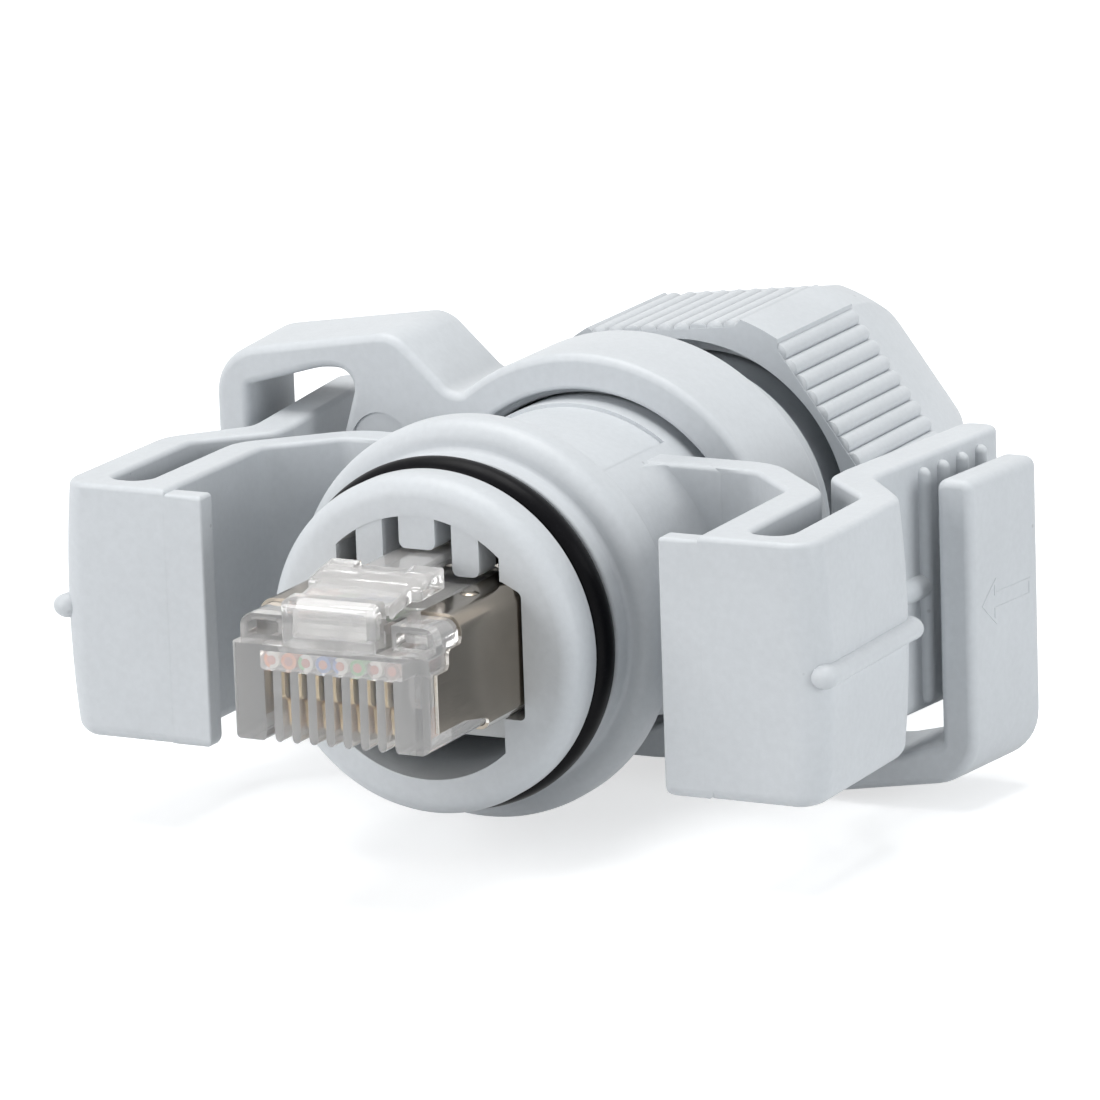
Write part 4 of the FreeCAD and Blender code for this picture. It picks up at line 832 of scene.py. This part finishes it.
wire_pitch = 1.02
wire_height = 1.5
wire_radius, core_radius = 0.455, 0.25
wire_front, wire_back = -15.5, 9.4
white_sleeve = (0.80, 0.78, 0.74, 1.0)
pair_colours = {"orange": (0.86, 0.24, 0.04, 1.0), "green": (0.10, 0.42, 0.07, 1.0),
                "blue": (0.04, 0.14, 0.52, 1.0), "brown": (0.20, 0.075, 0.045, 1.0)}
wires = wire_tree()
copper = bare_copper()
for number, (white, pair) in enumerate(((True, "orange"), (False, "orange"), (True, "green"), (False, "blue"),
                                        (True, "blue"), (False, "green"), (True, "brown"), (False, "brown"))):
    across = wire_pitch * (number - 3.5)
    slot_name = "wire_white_" + pair if white else "wire_" + pair
    sleeve = sleeve_finish(slot_name + "_sleeve", white_sleeve if white else pair_colours[pair],
                           pair_colours[pair] if white else None, across)
    wire = grow("sleeved_conductor_%d" % (number + 1), wires,
                {"Front": wire_front * MM, "Back": wire_back * MM, "Radius": wire_radius * MM,
                 "Core radius": core_radius * MM, "Core proud": 0.03 * MM, "Sleeve": sleeve, "Copper": copper},
                Matrix.Translation((across * MM, 0.0, wire_height * MM)))
    smooth_plate(wire, 40.0)
    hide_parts("conductor_%d" % (number + 1))
    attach(wire, "housing")


# ---- Contact blades ----
# Eight phosphor-bronze blades pressed through the wires. The edge that meets the socket's springs
# is gold plated and bright, and the stamped sides behind it carry a painted shade of brown low down, with paler metal
# above.

def row_tree():
    """Copies of one shape side by side along X, about the middle of the row."""
    tree, start, end = piece_tree("side_by_side_row", [("Geometry", "Geometry", None), ("Count", "Int", 8),
                                                       ("Pitch", "Float", 0.00102), ("Finish", "Material", None)])
    step = result(tree, "ShaderNodeCombineXYZ", {"X": start["Pitch"]})
    half = sum_of(tree, "MULTIPLY", start["Pitch"], -0.5)
    first = result(tree, "ShaderNodeCombineXYZ",
                   {"X": sum_of(tree, "MULTIPLY", sum_of(tree, "SUBTRACT", start["Count"], 1.0), half)})
    row = result(tree, "GeometryNodeMeshLine", {"Count": start["Count"], "Start Location": first, "Offset": step})
    copies = result(tree, "GeometryNodeInstanceOnPoints", {"Points": row, "Instance": start["Geometry"]})
    real = result(tree, "GeometryNodeRealizeInstances", {"Geometry": copies})
    painted = result(tree, "GeometryNodeSetMaterial", {"Geometry": real, "Material": start["Finish"]})
    tree.links.new(painted, end.inputs["Geometry"])
    return tree


side_by_side = row_tree()


def in_a_row(name, one, finish=None, count=8, pitch=wire_pitch):
    """The shape repeated along X, as one mesh object in its place."""
    pass_through(one, side_by_side, {"Count": count, "Pitch": pitch * MM, "Finish": finish})
    one.name = name
    face_outwards(one)
    return one


blade_half = 0.16


def blade_finish():
    """Gold on the blade's edges; on its sides a painted shade of brown low down, and paler metal above."""
    material, tree, shader, place = finish_of("plated_blade")
    part = tree.nodes.new("ShaderNodeSeparateXYZ")
    tree.links.new(place, part.inputs[0])
    aside = result(tree, "ShaderNodeMath", {0: part.outputs["X"], 1: wire_pitch * MM, 2: 0.0}, operation="WRAP")
    from_middle = sum_of(tree, "ABSOLUTE", sum_of(tree, "SUBTRACT", aside, wire_pitch / 2 * MM), 0.0)
    flank = spread(tree, from_middle, (blade_half - 0.010) * MM, (blade_half - 0.003) * MM, 0.0, 1.0)
    tarnish = noise(tree, place, 1900.0, 4.0)
    gold = blend_colours(tree, tarnish, (1.0, 0.86, 0.58, 1.0), (0.95, 0.70, 0.38, 1.0))
    # Painted shade: the blade sides are brown low down, where the gold stands in shade between the fins, and paler
    # metal higher up.
    brown = blend_colours(tree, tarnish, (0.86, 0.40, 0.14, 1.0), (0.50, 0.19, 0.06, 1.0))
    above_painted_shade = spread(tree, part.outputs["Z"], -0.75 * MM, -0.6 * MM, 0.0, 1.0)
    brown = blend_colours(tree, above_painted_shade, brown, (0.62, 0.58, 0.52, 1.0))
    tree.links.new(blend_colours(tree, flank, gold, brown), shader.inputs["Base Color"])
    worn = sum_of(tree, "ADD", spread(tree, tarnish, 0.2, 0.8, 0.16, 0.30), sum_of(tree, "MULTIPLY", flank, 0.22))
    tree.links.new(worn, shader.inputs["Roughness"])
    shader.inputs["Metallic"].default_value = 0.7
    return material


blade_front = -15.3
blade_side = rounded([(blade_front, 0.95, 0.06), (blade_front, -0.55, 0.4), (-14.5, -0.95, 0.3), (-14.4, -2.3, 0.1),
                      (-12.6, -2.3, 0.1), (-12.6, 1.0, 0), (-13.28, 0.32, 0), (-13.95, 1.0, 0),
                      (-14.62, 0.40, 0)], steps=5)
blades = in_a_row("contact_blades", prism("blade", blade_side, -blade_half, blade_half, "X"), blade_finish())
smooth_plate(blades, 30.0)
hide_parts(*["contact_%d" % (number + 1) for number in range(8)])
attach(blades, "housing")


# ---- Load bar ----
# A small clear comb inside the modular plug, bored for the eight wires. It is threaded on them
# before they are pushed home, and keeps them in line under the blades.

def clear_plastic(name, tint, haze, dullness):
    """Polycarbonate: clear with a milky share, faint flow marks and a polish that varies a little."""
    material, tree, shader, place = finish_of(name)
    streaks = noise(tree, stretched(tree, place, (1.0, 0.35, 1.0)), 900.0, 3.0)
    grain = noise(tree, place, 4200.0, 2.0)
    tree.links.new(blend_colours(tree, streaks, tint, tuple(c * 0.93 for c in tint[:3]) + (1.0,)),
                   shader.inputs["Base Color"])
    tree.links.new(spread(tree, grain, 0.3, 0.7, dullness * 0.6, dullness * 1.5), shader.inputs["Roughness"])
    raise_by(tree, shader, streaks, 0.22, 0.05)
    shader.inputs["Transmission Weight"].default_value = 1.0 - haze
    shader.inputs["IOR"].default_value = 1.58
    return material


frosted = clear_plastic("clear_bar_plastic", (0.95, 0.95, 0.96, 1.0), 0.40, 0.14)
bar = prism("wire_comb", oblong(4.64, 0.57, 2.43, 0.2, 0.3), -10.58, -6.62, "Y")
bore = lathe("wire_bore", [(0.0, -11.0), (0.488, -11.0), (0.488, -6.0), (0.0, -6.0)], turns=28)
bore.data.transform(Matrix.Translation((0, 0, wire_height * MM)))
combine(bar, in_a_row("wire_bores", bore))
soften(bar, 0.06, segments=2)
dress(bar, frosted)
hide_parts("load_bar")
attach(bar, "housing")


# ---- Modular plug body ----
# A clear polycarbonate moulding: two posts with nine round-footed fins between them in front, a window
# that shows the cut wires, a block that the springy tab grows from and a smaller hollow block each side.

def block(name, left, right, low, high, front, back, radius=0.0):
    """A straight bar along the plug's axis, with an optional radius on its four long edges."""
    corners = [(left, low, radius), (right, low, radius), (right, high, radius), (left, high, radius)]
    return prism(name, rounded(corners), front, back, "Y")


def cross_rod(name, radius, half_long):
    """A round rod on the tab's hinge line."""
    rod = lathe(name, [(0.0, -half_long), (radius, -half_long), (radius, half_long), (0.0, half_long)], turns=32)
    rod.data.transform(Matrix.Translation((0, hinge_back * MM, hinge_height * MM))
                       @ Matrix.Rotation(-math.pi / 2, 4, "Z"))
    return rod


plug_front, plug_back = -16.15, 5.31
plug_half, plug_low, plug_high = 5.8, -2.8, 3.75
hinge_back, hinge_height = -14.0, 4.23
post_round = 0.4
fin_gap_half, fin_foot, fin_foot_high, fin_foot_wide = 0.26, -2.5, 0.31, 0.24
plug = prism("clear_plug_body", oblong(plug_half, plug_low, plug_high, 0.45, 0.75, 8), plug_front, plug_back, "Y")
combine(plug, prism("front_step", [(plug_front - 1, 2.4), (-15.0, 2.4), (-15.0, 5.0), (plug_front - 1, 5.0)],
                    -7.0, 7.0, "X"))
for side in (1, -1):
    flat = plug_half - post_round
    post = [(side * flat, plug_front - 1), (side * flat, plug_front)]
    post += [(side * (flat + post_round * math.sin(math.pi * t / 12)),
              plug_front + post_round * (1 - math.cos(math.pi * t / 12))) for t in range(1, 7)]
    post += [(side * 6.5, plug_front + post_round), (side * 6.5, plug_front - 1)]
    combine(plug, prism("post_edge", post, -4.0, 5.0))
fin_gap = [(fin_gap_half, 1.03), (fin_gap_half, fin_foot)]
fin_gap += [(fin_gap_half + fin_foot_wide * (1 - math.cos(math.pi * t / 12)),
             fin_foot - fin_foot_high * math.sin(math.pi * t / 12)) for t in range(1, 7)]
fin_gap += [(fin_gap_half + fin_foot_wide, -3.4)]
fin_gap += [(-a, b) for a, b in reversed(fin_gap)]
combine(plug, in_a_row("fin_gaps", prism("fin_gap", fin_gap, plug_front - 1.0, -12.25, "Y")))
combine(plug, block("wire_channel", -4.2, 4.2, 1.01, 1.99, -15.58, 6.0, 0.1))
combine(plug, block("rear_chamber", -4.7, 4.7, -1.2, 2.7, -10.6, 6.0, 0.3))
for side in (1, -1):
    gutter = sorted((side * 2.86, side * 3.22))
    combine(plug, block("block_gutter", *gutter, 2.41, 4.5, -15.6, -13.2))
    hollow = sorted((side * 3.5, side * 5.35))
    combine(plug, block("block_hollow", *hollow, 2.62, 3.42, -15.4, -14.0, 0.15))
root_half = 2.8
tab_root = slab("tab_root", [(plug_front + 0.05, 2.0, 0.12), (-14.0, 2.0, 0), (-14.0, 3.7, 0), (-14.5, 3.9, 0.2),
                             (-14.56, 5.0, 0.25), (plug_front + 0.05, 4.85, 0.4)], -root_half, root_half, 0.3, 0.3,
                axis="X", steps=4, arc=5)
combine(tab_root, block("root_hollow", -2.15, 2.15, 2.9, 4.35, -15.5, -14.8, 0.2))
combine(plug, tab_root, how="UNION")
combine(plug, cross_rod("tab_socket", 0.45, 6.5))
soften(plug, 0.1, angle=30.0, segments=2)
plug_clear = clear_plastic("clear_polycarbonate", (0.99, 0.98, 0.97, 1.0), 0.24, 0.03)
dress(plug, plug_clear)
plug.data.materials.append(clear_plastic("polished_polycarbonate", (0.99, 0.98, 0.97, 1.0), 0.25, 0.02))
for face in plug.data.polygons:
    across, along, up = abs(face.center.x) / MM, face.center.y / MM, face.center.z / MM
    among_fins = across < 4.9 and along < -12.2 and up < 1.1
    face.material_index = 1 if among_fins else 0
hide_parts("plug_body")
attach(plug, "housing")


# ---- Springy tab ----
# The plug's latch tongue, of the same clear plastic: a thin strip that rises from its root, widens
# into two locking shoulders, and ends in a narrow tail for the finger.

tilt = math.tan(math.radians(9.76))
tongue_half = 0.42          # half the tongue's thickness
shoulder_front, shoulder_back, shoulder_half = -11.9, -9.15, 3.39
tail_end, tail_low, tail_high, tail_half = -2.92, 4.56, 5.24, 1.58


def on_tab(y, above):
    """A point of the tab's side view, at this height above its middle line."""
    return y, hinge_height + (y - hinge_back) * tilt + above


tab = slab("clear_tab", [(hinge_back, hinge_height - 0.41, 0), (*on_tab(shoulder_back, -tongue_half), 0),
                         (*on_tab(shoulder_back, tongue_half), 0.1), (hinge_back, hinge_height + 0.41, 0)],
           -root_half, root_half, 0.12, 0.12, axis="X", steps=3)
combine(tab, cross_rod("tab_hinge", tongue_half, root_half), how="UNION")
shoulders = slab("tab_shoulders", [(*on_tab(shoulder_front, -0.36), 0.05), (*on_tab(shoulder_back, -0.72), 0.1),
                                   (*on_tab(shoulder_back, 0.475), 0.12), (*on_tab(-10.6, 0.475), 0.3),
                                   (*on_tab(shoulder_front, 0.40), 0.3)],
                 -shoulder_half, shoulder_half, 0.15, 0.15, axis="X", steps=3)
combine(tab, shoulders, how="UNION")
combine(tab, prism("tail_gap", [on_tab(-10.2, 0.2), on_tab(-8.0, 0.2), (-8.0, 6.5), (-10.2, 6.5)], -1.6, 1.6, "X"))
tail = slab("tab_tail", [(*on_tab(-9.6, -0.40), 0), (-5.4, tail_low, 0.8), (tail_end, tail_low, 0.2),
                         (tail_end, tail_high, 0.2), (-6.1, tail_high, 0.8), (*on_tab(-9.6, 0.21), 0)],
            -tail_half, tail_half, 0.12, 0.12, axis="X", steps=3)
combine(tab, tail, how="UNION")
soften(tab, 0.06, angle=35.0, segments=2)
dress(tab, plug_clear)
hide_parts("plug_tab")
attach(tab, "tab")


# ---- Shield ----
# A folded sheet of nickel-plated brass round the modular plug, with stepped cheeks at the front, a
# notch on top for the tab and a small stamped dimple that presses on the socket's own shield.

def plated_sheet(name, colour):
    """Thin plated sheet: fine rolling lines, soft dullness and small marks from handling."""
    material, tree, shader, place = finish_of(name)
    lines = noise(tree, stretched(tree, place, (1.0, 0.08, 1.0)), 6500.0, 3.0)
    clouds = noise(tree, place, 420.0, 3.0)
    pit = spread(tree, cells(tree, place, 520.0), 0.03, 0.07, 1.0, 0.0)
    base = blend_colours(tree, clouds, colour, tuple(c * 0.78 for c in colour[:3]) + (1.0,))
    tree.links.new(blend_colours(tree, pit, base, tuple(min(1.0, c * 1.7) for c in colour[:3]) + (1.0,)),
                   shader.inputs["Base Color"])
    tree.links.new(spread(tree, lines, 0.2, 0.8, 0.17, 0.27), shader.inputs["Roughness"])
    raise_by(tree, shader, lines, 0.10, 0.02)
    shader.inputs["Metallic"].default_value = 1.0
    return material


shield_half, shield_low, shield_high = 6.02, -3.0, 3.95
shield_front, shield_back = -15.35, 4.8
sheet_side, sheet_flat = 0.2, 0.19      # the sheet on the cheeks, and on the top and the underside
top_edge, under_edge = -12.5, -9.7      # where the top and the underside end in front
shield = prism("folded_shield", oblong(shield_half, shield_low, shield_high, 0.6, 0.95, 10),
               shield_front, shield_back, "Y")
shield_inside = oblong(shield_half - sheet_side, shield_low + sheet_flat, shield_high - sheet_flat, 0.42, 0.77, 10)
combine(shield, prism("shield_inside", shield_inside, shield_front - 0.65, shield_back + 1.2, "Y"))
cheek_away = rounded([(-17.0, -1.75, 0), (top_edge, -1.75, 0.3), (under_edge, -2.28, 0.5), (under_edge, -5.0, 0),
                      (-17.0, -5.0, 0)])
combine(shield, prism("under_trim", cheek_away, -8.0, 8.0, "X"))
above = rounded([(-17.0, 1.4, 0), (-14.0, 1.4, 0.35), (-14.0, 2.45, 0.35), (top_edge, 2.45, 0.35), (top_edge, 6.0, 0),
                 (-17.0, 6.0, 0)])
combine(shield, prism("step_trim", above, -8.0, 8.0, "X"))
notch_half, notch_back = 3.65, -2.0
combine(shield, prism("tab_notch", oblong(notch_half, -14.0, notch_back, 0.0, 0.8), 3.0, 5.0))
dimple_side, dimple_back = 4.3, -8.2
for side in (1, -1):
    dimple = lathe("dimple", [(0.0, 3.80), (0.55, 3.80), (0.55, 3.93), (0.42, 4.02), (0.22, 4.08), (0.0, 4.09)],
                   turns=28)
    dimple.data.transform(Matrix.Translation((side * dimple_side * MM, dimple_back * MM, 0))
                          @ Matrix.Rotation(math.pi / 2, 4, "X"))
    combine(shield, dimple, how="UNION")
soften(shield, 0.07, angle=30.0, segments=2)
# The sheet's colour is nickel darkened to a brown grey: a painted reflection of the dark surroundings that the
# plating mirrors.
nickel = plated_sheet("nickel_sheet_painted_dark_reflection", (0.36, 0.32, 0.27, 1.0))
dress(shield, nickel)
# A near-white copy of the same finish on the sheet's cut edges, on the cheeks and on top: a painted highlight.
shield.data.materials.append(plated_sheet("cut_edge_painted_highlight", (0.96, 0.93, 0.88, 1.0)))
for face in shield.data.polygons:
    across, up = abs(face.center.x) / MM, face.center.z / MM
    cheek_edge_painted_highlight = 5.86 < across < 5.98 and abs(up) < 3.0
    top_edge_painted_highlight = 3.80 < up < 3.92 and across < 5.2
    face.material_index = 1 if cheek_edge_painted_highlight or top_edge_painted_highlight else 0
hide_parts("plug_shield")
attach(shield, "housing")


# ---- Plug cradle ----
# A separate pale moulding inside the nose: a shelf that the modular plug slides on and a disc that
# stops against the ledge in the bore, with a window that the eight wires pass through.

cradle_plastic = moulded_plastic("pale_cradle_moulding", (0.62, 0.64, 0.655, 1.0), cloudiness=0.04, specks=0.1)
disc_radius, disc_front, disc_back = bore_radius - 0.06, 8.0, 12.0
shelf_half, shelf_low, shelf_high = 4.85, -4.74, -3.01
cradle = lathe("cradle_moulding", rounded([(0.0, disc_front), (disc_radius, disc_front, 0.3),
                                           (disc_radius, disc_back, 0.3), (0.0, disc_back)]), turns=120)
combine(cradle, prism("cradle_shelf", oblong(shelf_half, shelf_low, shelf_high, 0.5, 0.15), -5.2, 9.9, "Y"),
        how="UNION")
combine(cradle, block("cradle_window", -4.5, 4.5, -0.8, 3.6, disc_front - 1.0, disc_back + 1.0, 0.4))
soften(cradle, 0.1, segments=2)
dress(cradle, cradle_plastic)
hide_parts("plug_cradle")
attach(cradle, "housing")


# ---- Cable clamp ----
# Inside the neck: a slotted sleeve whose fingers close on a rubber seal with grip rings, and a hard
# ring behind them that the nut pushes on. Together they hold the cable and keep water out.

dark_plastic = moulded_plastic("dark_clamp_moulding", (0.045, 0.045, 0.05, 1.0), specks=0.1, dullness=0.5)
cage_front, cage_back, cage_inside, cage_outside = 31.0, 42.6, 5.7, 7.2
cage = lathe("clamp_sleeve", rounded([
    (cage_inside, cage_front, 0.2), (cage_outside, cage_front, 0.3), (cage_outside, neck_back, 0),
    (neck_radius, neck_back, 0.2), (neck_radius, cage_back, 0.2), (4.4, cage_back, 0.2), (4.4, cage_back - 0.6, 0.1),
    (cage_inside, cage_back - 0.6, 0)]), turns=120)
for number in range(3):
    opening = prism("finger_slot", [(-0.8, 30.0), (0.8, 30.0), (0.8, 39.0), (-0.8, 39.0)], -9.0, 9.0)
    opening.data.transform(Matrix.Rotation(math.radians(60 * number), 4, "Y"))
    combine(cage, opening)
soften(cage, 0.1, segments=2)
dress(cage, dark_plastic)
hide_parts("clamp_cage")
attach(cage, "housing")

seal_outside, seal_inside, seal_front, seal_back = 5.64, 3.18, 31.6, 41.98
grip_rings = [(seal_outside, seal_front), (seal_outside, seal_back)]
for step in range(60, -1, -1):
    along = seal_front + (seal_back - seal_front) * step / 60
    grip_rings.append((seal_inside - 0.17 * abs(math.cos(math.pi * 4.5 * step / 60)), along))
seal = lathe("cable_seal_sleeve", grip_rings, turns=96)
smooth_plate(seal, 45.0)
dress(seal, rubber("black_seal_rubber", (0.012, 0.012, 0.013, 1.0), 0.55))
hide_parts("cable_seal")
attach(seal, "housing")

push_inside, push_back = 5.6, 44.0
push_ring = lathe("push_ring", rounded([(push_inside, cage_back, 0.25), (neck_radius, cage_back, 0.2),
                                        (neck_radius, push_back, 0.2), (push_inside, push_back, 0.3)]), turns=120)
soften(push_ring, 0.05, segments=2)
dress(push_ring, dark_plastic)
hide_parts("thrust_ring")
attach(push_ring, "clamp")


# ---- Clamp nut ----
# The cable gland's nut: a domed cap of the same grey moulding, with six flats of nine round ribs
# between smooth corner lands. It screws on the housing's neck and squeezes the cable seal.

nut_front, grip_back, nut_back = 27.02, 37.42, 48.97
land_radius, flat_radius = 12.0, 10.55
dome_radius, dome_root, dome_angle = 13.74, 11.55, math.radians(57.2)
nut_bore, nut_mouth, nut_hole = 8.8, 10.05, 4.6
relief_back, nut_seat = 30.02, push_back
flats = 6
nut_turned = math.radians(53.5)
nut_profile = [(nut_mouth, nut_front)]
nut_profile += rounded([(11.0, nut_front - 3, 0), (land_radius, nut_front, 0.25), (land_radius, grip_back, 0.55),
                        (11.5, grip_back + 0.12, 0)])[1:]
for step in range(1, 29):
    turn = dome_angle * step / 28
    nut_profile.append((dome_root - dome_radius + dome_radius * math.cos(turn),
                        grip_back + dome_radius * math.sin(turn)))
nut_profile += [(nut_hole + 0.4, nut_back), (nut_hole, nut_back - 0.25), (nut_hole, nut_back - 2.0), (7.0, nut_seat),
                (nut_bore, nut_seat), (nut_bore, relief_back), (nut_mouth, relief_back)]
nut = lathe("clamp_nut_moulding", nut_profile, turns=216)
flat_bend, flat_long = 32.0, 13.0
flat_curve = [(grip_back + flat_long * step / 18, flat_radius - (flat_long * step / 18) ** 2 / flat_bend)
              for step in range(19)]
for number in range(flats):
    turn = Matrix.Rotation(math.tau * number / flats, 4, "Y")
    pocket = prism("rib_pocket", [(-4.45, flat_radius), (4.45, flat_radius), (5.05, flat_radius + 0.55), (5.05, 13.0),
                                  (-5.05, 13.0), (-5.05, flat_radius + 0.55)], 25.0, grip_back, "Y")
    pocket.data.transform(turn)
    flat = prism("dome_flat", [(grip_back - 0.3, flat_radius)] + flat_curve
                 + [(50.5, 13.0), (grip_back - 0.3, 13.0)], -8.0, 8.0, "X")
    flat.data.transform(turn)
    combine(nut, pocket, flat)
soften(nut, 0.16, angle=28.0, segments=2, flatten=0.3)
settle(nut)
rib_start, rib_stop = nut_front - 2.02, grip_back - 0.08
rib_place = Matrix.Translation((0.0, (rib_start + rib_stop) / 2 * MM, 0.0)) @ Matrix.Rotation(-math.pi / 2, 4, "X")
nut_ribs = grow("nut_ribs", ribs_tree, {"Ribs": 9, "Pitch": 1.06 * MM, "Long": (rib_stop - rib_start) * MM,
                                        "Wide": 0.52 * MM, "High": 0.42 * MM, "Nose": 0.5 * MM, "Rows": flats,
                                        "Row distance": (flat_radius - 0.02) * MM, "Finish": grey_plastic}, rib_place)
combine(nut_ribs, lathe("front_trim", [(0.0, 20.0), (14.0, 20.0), (14.0, nut_front + 0.03), (0.0, nut_front + 0.03)],
                        turns=48))
combine(nut, nut_ribs, how="UNION")
nut.data.transform(Matrix.Rotation(nut_turned, 4, "Y"))
smooth_plate(nut, 40.0)
dress(nut, grey_plastic)
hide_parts("gland_nut")
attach(nut, "nut")


# ---- Floor, light and camera ----
# A plain white floor under the part and a white backdrop behind it, a broad softbox overhead, one
# from the left front and a weaker one from the right, and the long lens that the picture was taken with.

def seen_directly(tree):
    """One for the rays that show the surroundings to the lens, straight or through a mirror or glass."""
    lens = tree.nodes.new("ShaderNodeLightPath").outputs
    return sum_of(tree, "MAXIMUM", lens["Is Camera Ray"],
                  sum_of(tree, "MAXIMUM", lens["Is Glossy Ray"], lens["Is Transmission Ray"]))


def pale_card(name, colour, glow):
    """A white paper finish that reads as white to the lens, and as plain paper to the part's own light."""
    material, tree, shader, place = finish_of(name)
    shader.inputs["Base Color"].default_value = colour
    fibre = noise(tree, place, 40.0, 3.0)
    tree.links.new(spread(tree, fibre, 0.0, 1.0, 0.86, 0.94), shader.inputs["Roughness"])
    tree.links.new(sum_of(tree, "MULTIPLY", seen_directly(tree), glow), shader.inputs["Emission Strength"])
    shader.inputs["Emission Color"].default_value = (1.0, 1.0, 1.0, 1.0)
    return material


floor_level = cad_low[2] / MM - 0.02
floor_half = 900
floor = shape("studio_floor", [(-floor_half, -floor_half, floor_level), (floor_half, -floor_half, floor_level),
                               (floor_half, floor_half, floor_level), (-floor_half, floor_half, floor_level)],
              [(0, 1, 2, 3)])
floor.data.materials.append(pale_card("pale_floor", (0.62, 0.63, 0.64, 1.0), 0.62))

world = bpy.data.worlds.new("studio")
bpy.context.scene.world = world
world.use_nodes = True
tree = world.node_tree
ambient = tree.nodes["Background"]
ambient.inputs["Color"].default_value = (0.90, 0.95, 1.0, 1)
ambient.inputs["Strength"].default_value = 0.24
white = tree.nodes.new("ShaderNodeBackground")
white.inputs["Color"].default_value = (1.0, 1.0, 1.0, 1)
white.inputs["Strength"].default_value = 1.0
choice = tree.nodes.new("ShaderNodeMixShader")
tree.links.new(seen_directly(tree), choice.inputs["Fac"])
tree.links.new(ambient.outputs["Background"], choice.inputs[1])
tree.links.new(white.outputs["Background"], choice.inputs[2])
tree.links.new(choice.outputs["Shader"], tree.nodes["World Output"].inputs["Surface"])

for name, place, aim, width, power, colour in (
        ("top_softbox", (-0.05, 0.02, 0.55), (0, 0.01, 0), 0.40, 2.7, (1.0, 0.995, 0.98)),
        ("front_softbox", (-0.33, -0.45, 0.20), (0, 0, 0), 0.35, 2.0, (1.0, 1.0, 1.0)),
        ("side_softbox", (0.52, -0.05, 0.12), (0, 0.01, 0), 0.26, 1.25, (0.97, 0.99, 1.0))):
    lamp = bpy.data.lights.new(name, "AREA")
    lamp.shape = "SQUARE"
    lamp.size = width
    lamp.energy = power
    lamp.color = colour
    holder = bpy.data.objects.new(name, lamp)
    bpy.context.scene.collection.objects.link(holder)
    holder.location = place
    holder.rotation_mode = "QUATERNION"
    holder.rotation_quaternion = (Vector(aim) - Vector(place)).to_track_quat("-Z", "Y")

lens_length, sensor = 247.53, 36.0
lens_place = (0.18556716, -0.34985985, 0.10104160)
azimuth, elevation, roll = 0.476604, 0.240605, -0.034468
backwards = Vector((math.sin(azimuth) * math.cos(elevation), -math.cos(azimuth) * math.cos(elevation),
                    math.sin(elevation)))
level = Vector((math.cos(azimuth), math.sin(azimuth), 0))
upright = backwards.cross(level)
right = level * math.cos(roll) + upright * math.sin(roll)
up = upright * math.cos(roll) - level * math.sin(roll)
eye = bpy.data.cameras.new("camera")
eye.lens = lens_length
eye.sensor_width = sensor
eye.clip_start = 0.02
eye.clip_end = 5.0
camera = bpy.data.objects.new("camera", eye)
bpy.context.scene.collection.objects.link(camera)
camera.matrix_world = Matrix.Translation(lens_place) @ Matrix((right, up, backwards)).transposed().to_4x4()
bpy.context.scene.camera = camera
bpy.context.scene.view_settings.view_transform = "Standard"
